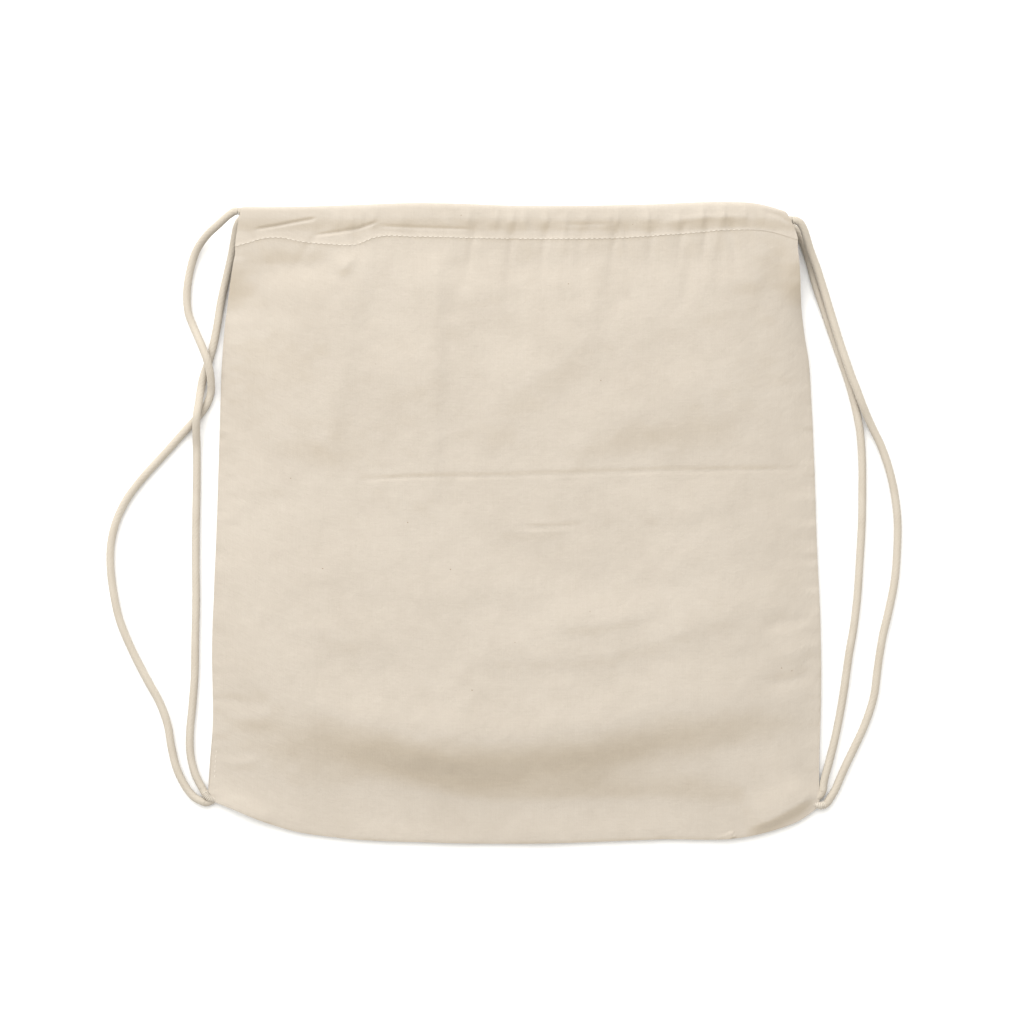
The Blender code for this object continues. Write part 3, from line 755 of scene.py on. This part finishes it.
def settle(ob, side, slot, *nodes):
    """Hides the CAD parts that a piece stands for. A piece of one side keeps its place, with its transform
    baked in.
    Any other piece stays with the bag."""
    if side:
        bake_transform(ob)
    else:
        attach(ob, "bag")
    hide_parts(*nodes)


def front_sheet_points():
    """The outer face of the front sheet, row by row from the bottom seam to the hem's raw edge."""
    x, y, v = body_grid(COLUMNS, BODY_ROWS)
    body = np.stack([x, y, front_height(x, y, v)], axis=-1)
    across = (x[-1] - x[-1, 0]) / (x[-1, -1] - x[-1, 0])
    mouth_x = mixed(MOUTH_LINE[0][0] * MM, MOUTH_LINE[-1][0] * MM, across)
    rows = casing_rows(x[-1], mouth_x, FRONT_CASING_Z, 1)
    return np.concatenate([body, rows, hem_edge_rows(body, 1)])


def back_sheet_points():
    """The same of the back sheet."""
    x, y, v = body_grid(BACK_COLUMNS, BACK_BODY_ROWS, BACK_CASING_HALF)
    body = np.stack([x, y, back_height(x, y, v)], axis=-1)
    mouth_x = x[-1] * BACK_MOUTH_HALF / BACK_CASING_HALF
    rows = casing_rows(x[-1], mouth_x, BACK_CASING_Z, -1)
    return np.concatenate([body, rows, hem_edge_rows(body, -1)])


def kept_cells(points, body_rows):
    """Every cell, but for the inner face of the casing's ends, where the drawcords' loops cross over."""
    keep = np.ones((points.shape[0] - 1, points.shape[1] - 1), bool)
    inner_from = body_rows + CASING_ROWS
    beyond = np.abs(points[inner_from:, :, 0]) > NOTCH_FROM
    keep[inner_from:] &= ~(beyond[:-1, :-1] | beyond[:-1, 1:])
    return keep


# ---- cords and threads


def frames_along(points):
    """For each point, two unit vectors across the line, turning as little as possible."""
    tangents = np.gradient(points, axis=0)
    tangents /= np.linalg.norm(tangents, axis=1, keepdims=True)
    across = np.zeros_like(points)
    start = np.cross(tangents[0], (0, 0, 1))
    if np.linalg.norm(start) < 1e-3:
        start = np.cross(tangents[0], (0, 1, 0))
    across[0] = start / np.linalg.norm(start)
    for i in range(1, len(points)):
        step = across[i - 1] - tangents[i] * np.dot(across[i - 1], tangents[i])
        across[i] = step / np.linalg.norm(step)
    return across, np.cross(tangents, across)


def tube_mesh(name, points, radius_at, sides):
    """A closed tube round points. radius_at gives a ring's radii from the distance along and the angles."""
    across, upward = frames_along(points)
    along = distances(points)
    angles = 2 * math.pi * np.arange(sides) / sides
    radii = radius_at(along[:, None], angles[None, :])
    ring = across[:, None] * np.cos(angles)[None, :, None] + upward[:, None] * np.sin(angles)[None, :, None]
    vertices = (points[:, None] + ring * radii[..., None]).reshape(-1, 3)
    count = len(points)
    index = np.arange(count * sides).reshape(count, sides)
    turned = np.roll(index, -1, axis=1)
    faces = np.stack([index[:-1], turned[:-1], turned[1:], index[1:]], axis=-1).reshape(-1, 4).tolist()
    faces += [index[0, ::-1].tolist(), index[-1].tolist()]
    mesh = bpy.data.meshes.new(name)
    mesh.from_pydata(vertices.tolist(), [], faces)
    mesh.update()
    corners = vertex_of_corners(mesh)
    layer = mesh.uv_layers.new(name="cord")
    uv = np.stack([(corners % sides) / sides, along[corners // sides]], axis=-1)
    layer.data.foreach_set("uv", uv.ravel())
    mesh.shade_smooth()
    return placed(name, mesh)


def braided(along, angles, seed=0):
    """The radius of a round braid: two sets of strands wind opposite ways, over and under each other."""
    turn = BRAID_STRANDS * angles / (2 * math.pi)
    one, other = turn + along / BRAID_LAY, turn - along / BRAID_LAY
    over = (np.floor(one) + np.floor(other)) % 2 == 0
    across = np.where(over, one % 1, other % 1)
    profile = 1 - np.abs(2 * across - 1) ** 2.5
    slack = BRAID_SLACK * soft_noise(along + 0 * angles, along * 0 + seed, BRAID_SLACK_LENGTH, 41)
    return CORD_RADIUS * (1 - BRAID_DEPTH + BRAID_DEPTH * profile + slack)


def smooth_route(points, spacing):
    """Evenly spaced points on a Catmull-Rom curve through a route's own points."""
    route = [Vector(p) for p in points]
    route = [2 * route[0] - route[1], *route, 2 * route[-1] - route[-2]]
    fine = []
    for a, b, c, d in zip(route, route[1:], route[2:], route[3:]):
        for step in range(SAMPLES_PER_SPAN):
            t = step / SAMPLES_PER_SPAN
            bend = 2 * a - 5 * b + 4 * c - d
            twist = 3 * (b - c) + d - a
            fine.append(b + ((c - a) * t + bend * t**2 + twist * t**3) / 2)
    fine.append(route[-2])
    return even_points(fine, spacing)


def even_points(line, spacing):
    """Evenly spaced points on straight spans between a line's points."""
    line = np.array([tuple(p) for p in line], float)
    length = distances(line)[-1]
    return points_at(np.linspace(0, length, round(length / spacing) + 1), line)


def add_strand(name, half_length, route, material, seed):
    """A free strand, from just outside its casing down to its bottom corner."""
    start = (math.copysign(half_length + EXIT_GAP, route[0][0]), route[0][1], route[0][2])
    path = smooth_route([start, *route], RING_SPACING)
    ob = tube_mesh(name + "_braid", path, partial(braided, seed=seed), RING_SIDES)
    ob.data.materials.append(material)
    length = round(float(distances(path)[-1]), 4)
    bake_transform(ob)
    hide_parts(name)


def add_casing_run(side, lane, material):
    """The U of one drawcord: along the front casing, round the mouth's far end, back along the back one."""
    sign = SIGNS[side]
    middle_z = (FRONT_CASING_Z + BACK_CASING_Z) / 2
    line = [(sign * FRONT_CASING_HALF, lane, FRONT_CASING_Z)]
    for n in range(LOOP_STEPS + 1):
        angle = math.pi * (0.5 - n / LOOP_STEPS)
        x = -sign * (LOOP_X + LOOP_RADIUS * math.cos(angle))
        line.append((x, lane, middle_z + LOOP_RADIUS * math.sin(angle)))
    line.append((sign * BACK_CASING_EXIT, lane, BACK_CASING_Z))
    path = even_points(line, HIDDEN_RING_SPACING)
    ob = tube_mesh(f"{side}_cord_casing_braid", path, partial(braided, seed=9), RING_SIDES)
    ob.data.materials.append(material)
    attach(ob, f"{side}_drawcord")
    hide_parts(f"{side}_cord_casing_run")


def even_radius(along, angles, radius):
    """The same radius everywhere, for tube_mesh."""
    return radius + 0 * along + 0 * angles


def joined_tubes(name, lines, radius, sides, material):
    """Many short threads as one piece."""
    radii = partial(even_radius, radius=radius)
    parts = [tube_mesh(f"{name}_{n}", np.array(line, float), radii, sides) for n, line in enumerate(lines)]
    return joined(name, parts, material)


# ---- stitching, seams and tacks


def stitch_lines(track, lift):
    """Short threads along a track of points: each dives into the cloth at both ends."""
    lines = []
    for start in np.arange(STITCH_GAP, distances(track)[-1] - STITCH_LENGTH, STITCH_LENGTH):
        line = points_at(start + (STITCH_LENGTH - STITCH_GAP) * np.linspace(0, 1, 6), track)
        line[:, 2] += lift * np.array([-1.0, 0.35, 1, 1, 0.35, -1.0])
        lines.append(line)
    return lines


def half_track(track, side):
    """The part of a track on one side of X = 0."""
    return track[SIGNS[side] * track[:, 0] >= MIDDLE_GAP]


def add_hem_stitching(name, points, body_rows, flip, thread):
    """The row that holds a sheet's hem, seen on both faces of the cloth. It sinks in at the right end."""
    surface = points[body_rows].copy()
    surface[:, 2] -= flip * (STITCH_SINK + STITCH_FADE * ease(HEM_FADE_FROM, HEM_FADE_TO, surface[:, 0]))
    under = surface[np.abs(surface[:, 0]) < NOTCH_FROM - 0.002]
    under[:, 2] -= flip * (LAYER_GAP + CLOTH_THICKNESS)
    for side in SIGNS:
        lines = stitch_lines(half_track(surface, side), flip * THREAD_RADIUS)
        lines += stitch_lines(half_track(under, side), -flip * THREAD_RADIUS)
        ob = joined_tubes(f"{name}_hem_stitches_{side}", lines, THREAD_RADIUS, THREAD_SIDES, thread)
        settle(ob, side, "sewing_thread", f"{name}_casing_stitching")


def line_at(x, y, z):
    """A line of points, where a single number holds for all of them."""
    return np.stack(np.broadcast_arrays(x, y, z), axis=-1)


def allowance_strip(name, inner_edge, outer_edge, material):
    """A seam allowance: two layers of cloth folded in along the seam, one a little wider than the other."""
    layers = []
    for n, (lift, reach) in enumerate(ALLOWANCE_LAYERS):
        steps = np.linspace(0, reach, 6)[:, None, None]
        grid = outer_edge[None] + (inner_edge - outer_edge)[None] * steps
        grid[..., 2] += lift + 0.0002 * soft_noise(grid[..., 0], grid[..., 1], 0.006, 51 + n)
        normals = grid_normals(grid, 1)
        flip = 1 if normals[..., 2].mean() > 0 else -1
        keep = np.ones((grid.shape[0] - 1, grid.shape[1] - 1), bool)
        layers.append(thick_cloth(f"{name}_{n}", grid, normals * flip, flat_map(grid), keep, flip))
    return joined(name, layers, material)


def overlock_lines(outer_edge, inner_edge):
    """Thread looped over the raw edge of an allowance in a zigzag."""
    along = distances(inner_edge)
    places = np.arange(0, along[-1], OVERLOCK_STEP)
    edge, far = points_at(places, inner_edge, along), points_at(places, outer_edge, along)
    share = np.where(np.arange(len(places)) % 2 == 0, -0.04, 0.4)[:, None]
    line = edge + (far - edge) * share
    line[:, 2] += CLOTH_THICKNESS * 1.7
    return [line[i:i + 40] for i in range(0, len(line) - 2, 39)]


def add_seam(name, outer, inner, track, side, cloth, thread):
    """Inside the bag: a folded allowance with an overlocked edge, and the stitching that closes the seam."""
    strip = allowance_strip(f"{name}_allowance_overlocked", inner, outer, cloth)
    settle(strip, side, "bag_cloth", f"{name}_seam_allowance")
    lines = stitch_lines(track, THREAD_RADIUS) + overlock_lines(outer, inner)
    ob = joined_tubes(f"{name}_seam_stitches", lines, THREAD_RADIUS, SEAM_THREAD_SIDES, thread)
    settle(ob, side, "sewing_thread", f"{name}_seam_stitching")


def add_seams(cloth, thread):
    """Both side seams and the bottom seam."""
    ys = np.linspace(SEAM_LOW_Y, SEAM_HIGH_Y, SEAM_POINTS)
    for side, sign in SIGNS.items():
        edge_x = (left_side if sign < 0 else right_side)(ys)
        height = seam_height((ys - SIDE_BOTTOM_Y) / (hem_line(edge_x) - SIDE_BOTTOM_Y))
        seam_z = height - ALLOWANCE_DROP
        outer = line_at(edge_x - sign * ALLOWANCE_INSET, ys, seam_z)
        inner = line_at(edge_x - sign * ALLOWANCE_REACH, ys, ALLOWANCE_Z + 0.2 * (height - SEAM_Z))
        track = line_at(edge_x - sign * SEAM_STITCH_INSET, ys, seam_z + SEAM_STITCH_LIFT)
        add_seam(side, outer, inner, track, side, cloth, thread)
    xs = np.linspace(-BOTTOM_SEAM_HALF, BOTTOM_SEAM_HALF, SEAM_POINTS)
    outer = line_at(xs, bottom_line(xs) + ALLOWANCE_INSET, SEAM_Z - ALLOWANCE_DROP)
    inner = line_at(xs, bottom_line(xs) + ALLOWANCE_REACH, ALLOWANCE_Z)
    track = outer + np.array([0, SEAM_STITCH_INSET - ALLOWANCE_INSET, SEAM_STITCH_LIFT])
    add_seam("bottom", outer, inner, track, None, cloth, thread)


def add_slit_tacks(thread):
    """A dense bar of zigzag thread that closes each side seam below the casing's end."""
    for side in SIGNS:
        low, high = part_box(f"{side}_slit_bartack")
        centre = (low + high) / 2
        line = []
        for n in range(TACK_PASSES):
            x = centre.x + (TACK_HALF if n % 2 else -TACK_HALF)
            line.append((x, low.y + (high.y - low.y) * n / (TACK_PASSES - 1), centre.z + SLIT_TACK_LIFT))
        ob = joined_tubes(f"{side}_slit_tack_thread", [line], THREAD_RADIUS * 1.1, THREAD_SIDES, thread)
        settle(ob, side, "sewing_thread", f"{side}_slit_bartack")


def tapered_braid(length, seed):
    """The radii of a braid that gets thinner towards its cut end."""

    def radii(along, angles):
        return braided(along, angles, seed) * (1 - CORNER_TAPER * (along / length) ** 2)

    return radii


def corner_loops(path):
    """Loops of thread over the top of a cord's end."""
    across, upward = frames_along(path)
    if upward[0][2] < 0:
        upward = -upward
    angles = np.linspace(-CORNER_LOOP_OVERLAP, math.pi + CORNER_LOOP_OVERLAP, 13)[:, None]
    loops = []
    for place in np.linspace(*CORNER_LOOPS_SPAN, CORNER_LOOPS):
        i = int(place * (len(path) - 1))
        reach = CORD_RADIUS * (1 - CORNER_TAPER * place**2) + THREAD_RADIUS * 0.6
        loops.append(path[i] + reach * (np.cos(angles) * across[i] + np.sin(angles) * upward[i]))
    return loops


def fluff(rng, tip, sign):
    """Fibres that stand out of a cut end."""
    steps = np.linspace(0, 1, 5)[:, None]
    fibres = []
    for _n in range(FLUFF_FIBRES):
        heading = np.array([sign * rng.uniform(-0.6, 0.9), rng.uniform(-1.0, -0.2), rng.uniform(-0.3, 0.3)])
        bend = np.array([rng.uniform(-0.5, 0.5), rng.uniform(-0.4, 0.4), -0.3])
        start = tip + np.array([sign * rng.uniform(0, 0.004), -0.0012, rng.uniform(-0.001, 0.0008)])
        fibres.append(start + rng.uniform(*FLUFF_LENGTH) * (heading * steps + bend * steps**2 * 0.5))
    return fibres


def add_corner_tacks(cord, thread):
    """Both ends of a drawcord sewn into the bottom corner, with thread over them and a little fluff."""
    rng = np.random.default_rng(17)
    for side, sign in SIGNS.items():
        paths = [smooth_route(line, RING_SPACING) for line in CORNER_ENDS[side]]
        ends = []
        for n, path in enumerate(paths):
            radius_at = tapered_braid(distances(path)[-1], 5 + n)
            ends.append(tube_mesh(f"{side}_cord_end_{n}", path, radius_at, RING_SIDES))
        stub = joined(f"{side}_cord_ends_sewn_in", ends, cord)
        lines = corner_loops(paths[0]) + fluff(rng, paths[0][-1], sign)
        ob = joined_tubes(f"{side}_corner_tack_thread", lines, THREAD_RADIUS, THREAD_SIDES, thread)
        settle(stub, None, "drawcord", f"{side}_corner_bartack")
        settle(ob, None, "sewing_thread", f"{side}_corner_bartack")


# ---- materials


class Shader:
    """A new material, with short ways to add nodes to it and to set its main shader."""

    def __init__(self, name):
        self.material = bpy.data.materials.new(name)
        self.material.use_nodes = True
        self.tree = self.material.node_tree

    def feed(self, node, inputs):
        """Sets a node's inputs. Each is a number, a colour or another node's output."""
        for name, value in inputs.items():
            if isinstance(value, bpy.types.NodeSocket):
                self.tree.links.new(value, node.inputs[name])
            else:
                node.inputs[name].default_value = value

    def put(self, kind, inputs=None, **settings):
        node = self.tree.nodes.new("ShaderNode" + kind)
        for name, value in settings.items():
            setattr(node, name, value)
        self.feed(node, inputs or {})
        return node.outputs

    def maths(self, operation, *values):
        return self.put("Math", dict(enumerate(values)), operation=operation)[0]

    def noise(self, vector, scale, detail=2.0, roughness=0.5):
        inputs = {"Vector": vector, "Scale": scale, "Detail": detail, "Roughness": roughness}
        return self.put("TexNoise", inputs)["Fac"]

    def stretched(self, vector, scale):
        return self.put("Mapping", {"Vector": vector, "Scale": scale})["Vector"]

    def bump(self, height, strength, distance, under=None):
        inputs = {"Strength": strength, "Distance": distance, "Height": height}
        if under:
            inputs["Normal"] = under
        return self.put("Bump", inputs)[0]

    def two_tones(self, share, dark, light):
        """A colour between dark and light, where share is between 0.3 and 0.7."""
        colour = self.put("ValToRGB", {"Fac": share})["Color"]
        for element, place, tone in zip(colour.node.color_ramp.elements, (0.3, 0.7), (dark, light)):
            element.position = place
            element.color = (*tone, 1)
        return colour

    def finish(self, colour, roughness, normal, **weights):
        """Feeds the main shader, and returns the material."""
        inputs = {"Base Color": colour, "Roughness": roughness}
        if normal:
            inputs["Normal"] = normal
        inputs.update({name.replace("_", " "): value for name, value in weights.items()})
        self.feed(self.tree.nodes["Principled BSDF"], inputs)
        return self.material


def threads(cloth, coordinate):
    """The rounded tops of parallel threads."""
    wave = cloth.maths("SINE", cloth.maths("MULTIPLY", coordinate, math.pi / THREAD_PITCH))
    return cloth.maths("POWER", cloth.maths("ABSOLUTE", wave), 0.7)


def calico(name, light, dark):
    """Unbleached plain-weave cotton: threads over and under, slubs, seed flecks, an uneven tone and painted
    shade.
    """
    cloth = Shader(name)
    maths, noise = cloth.maths, cloth.noise
    uv = cloth.put("UVMap", uv_map="cloth")["UV"]
    place = cloth.put("SeparateXYZ", {"Vector": uv})
    over = cloth.put("TexChecker", {"Vector": uv, "Scale": 1 / THREAD_PITCH})["Fac"]
    inputs = {0: over, 2: threads(cloth, place[0]), 3: threads(cloth, place[1])}
    weave = cloth.put("Mix", inputs, data_type="FLOAT")[0]
    slub_warp = noise(cloth.stretched(uv, (1500, 55, 1)), 1.0, 3.0)
    slub_weft = noise(cloth.stretched(uv, (55, 1500, 1)), 1.0, 3.0)
    slubs = maths("MULTIPLY", maths("ADD", slub_warp, slub_weft), 0.5)
    broad, middle = noise(uv, 14.0, 3.0, 0.55), noise(uv, 95.0, 3.0, 0.6)
    tone = maths("ADD", maths("MULTIPLY", broad, 0.42), maths("MULTIPLY", middle, 0.22))
    tone = maths("ADD", tone, maths("MULTIPLY", slubs, 0.36))
    # a few seed flecks
    seeds = cloth.put("TexVoronoi", {"Vector": uv, "Scale": 150.0, "Randomness": 1.0})
    rarity = cloth.put("SeparateColor", {"Color": seeds["Color"]})[0]
    near = maths("LESS_THAN", seeds["Distance"], 0.055)
    fleck = maths("MULTIPLY", maths("MULTIPLY", near, maths("GREATER_THAN", rarity, 0.955)), 0.7)
    inputs = {0: fleck, 6: cloth.two_tones(tone, dark, light), 7: (*SEED_COLOUR, 1)}
    flecked = cloth.put("Mix", inputs, data_type="RGBA")[2]
    # painted shade: browner where the cloth faces the bottom of the bag, away from the key light
    facing = cloth.put("SeparateXYZ", {"Vector": cloth.put("NewGeometry")["Normal"]})[1]
    painted_shade_share = cloth.put("MapRange", {"Value": facing, 1: -0.05, 2: -0.42, 3: 0.0, 4: 1.0})[0]
    inputs = {0: painted_shade_share, 6: flecked, 7: (*PAINTED_SHADE_TINT, 1)}
    colour = cloth.put("Mix", inputs, data_type="RGBA", blend_type="MULTIPLY")[2]
    normal = cloth.bump(weave, 0.55, 0.00012)
    normal = cloth.bump(slubs, 0.5, 0.0002, normal)
    normal = cloth.bump(noise(uv, 260.0, 4.0, 0.6), 0.35, 0.0008, normal)
    rough = maths("MULTIPLY_ADD", weave, -0.08, 0.95)
    return cloth.finish(colour, rough, normal, Sheen_Weight=0.12, Sheen_Roughness=0.6, Specular_IOR_Level=0.2)


def cord_cotton(name, light, dark):
    """Soft cotton cord: fibres along the braid, and a tone that changes slowly along it."""
    cord = Shader(name)
    uv = cord.put("UVMap", uv_map="cord")["UV"]
    fibres = cord.noise(cord.stretched(uv, (26, 1700, 1)), 1.0, 3.0, 0.6)
    broad = cord.noise(cord.stretched(uv, (1, 60, 1)), 1.0, 2.0)
    tone = cord.maths("ADD", cord.maths("MULTIPLY", fibres, 0.55), cord.maths("MULTIPLY", broad, 0.45))
    rough = cord.maths("MULTIPLY_ADD", fibres, 0.12, 0.82)
    colour, normal = cord.two_tones(tone, dark, light), cord.bump(fibres, 0.5, 0.00025)
    return cord.finish(colour, rough, normal, Sheen_Weight=0.2, Specular_IOR_Level=0.2)


def thread_cotton(name, light, dark):
    """Twisted sewing thread."""
    thread = Shader(name)
    place = thread.put("TexCoord")["Object"]
    inputs = {"Vector": place, "Scale": 900.0, "Distortion": 1.5}
    twist = thread.put("TexWave", inputs, bands_direction="DIAGONAL")["Fac"]
    colour = thread.two_tones(thread.noise(place, 700.0, 2.0), dark, light)
    rough = thread.maths("MULTIPLY_ADD", twist, 0.1, 0.7)
    return thread.finish(colour, rough, thread.bump(twist, 0.4, 0.0001), Sheen_Weight=0.1)


# ---- camera, floor and light


def add_camera():
    data = bpy.data.cameras.new("camera")
    data.lens = CAMERA_LENS
    data.sensor_width = CAMERA_SENSOR
    data.clip_start = 0.05
    ob = placed("camera", data)
    ob.location = CAMERA_PLACE
    bpy.context.scene.camera = ob


def add_floor():
    mesh = bpy.data.meshes.new("floor")
    half = FLOOR_SIZE / 2
    corners = [(-half, -half, FLOOR_Z), (half, -half, FLOOR_Z), (half, half, FLOOR_Z), (-half, half, FLOOR_Z)]
    mesh.from_pydata(corners, [], [(0, 1, 2, 3)])
    mesh.materials.append(Shader("floor").finish((*FLOOR_COLOUR, 1), 1.0, None, Specular_IOR_Level=0.0))
    placed("floor", mesh)


def add_light():
    data = bpy.data.lights.new("key", "AREA")
    data.shape = "SQUARE"
    data.size = KEY_SIZE
    data.energy = KEY_POWER
    data.color = KEY_COLOUR
    ob = placed("key", data)
    ob.location = KEY_PLACE
    ob.rotation_euler = (Vector(KEY_AIM) - Vector(KEY_PLACE)).to_track_quat("-Z", "Y").to_euler()
    world = bpy.data.worlds.new("studio")
    world.use_nodes = True
    background = world.node_tree.nodes["Background"]
    background.inputs["Color"].default_value = (*WORLD_COLOUR, 1)
    background.inputs["Strength"].default_value = WORLD_STRENGTH
    bpy.context.scene.world = world


# ---- everything

add_camera()
add_floor()
add_light()
bpy.context.scene.view_settings.view_transform = "Standard"

cord_material = cord_cotton("cord_cotton", CORD_LIGHT, CORD_DARK)
cloth_material = calico("calico", CLOTH_LIGHT, CLOTH_DARK)
thread_material = thread_cotton("sewing_thread", THREAD_LIGHT, THREAD_DARK)

for name, side, half_length, route, seed in (
    ("left_cord_front_strand", "left", FRONT_CASING_HALF, LEFT_FRONT_ROUTE, 1),
    ("left_cord_back_strand", "left", BACK_CASING_EXIT, LEFT_BACK_ROUTE, 2),
    ("right_cord_front_strand", "right", FRONT_CASING_HALF, RIGHT_FRONT_ROUTE, 3),
    ("right_cord_back_strand", "right", BACK_CASING_EXIT, RIGHT_BACK_ROUTE, 4),
):
    add_strand(name, half_length, route, cord_material, seed)
add_casing_run("left", LEFT_LANE_Y, cord_material)
add_casing_run("right", RIGHT_LANE_Y, cord_material)

front_points, back_points = front_sheet_points(), back_sheet_points()
add_sheet("front", front_points, BODY_ROWS, 1, cloth_material)
add_sheet("back", back_points, BACK_BODY_ROWS, -1, cloth_material)
add_hem_stitching("front", front_points, BODY_ROWS, 1, thread_material)
add_hem_stitching("back", back_points, BACK_BODY_ROWS, -1, thread_material)
add_seams(cloth_material, thread_material)
add_slit_tacks(thread_material)
add_corner_tacks(cord_material, thread_material)
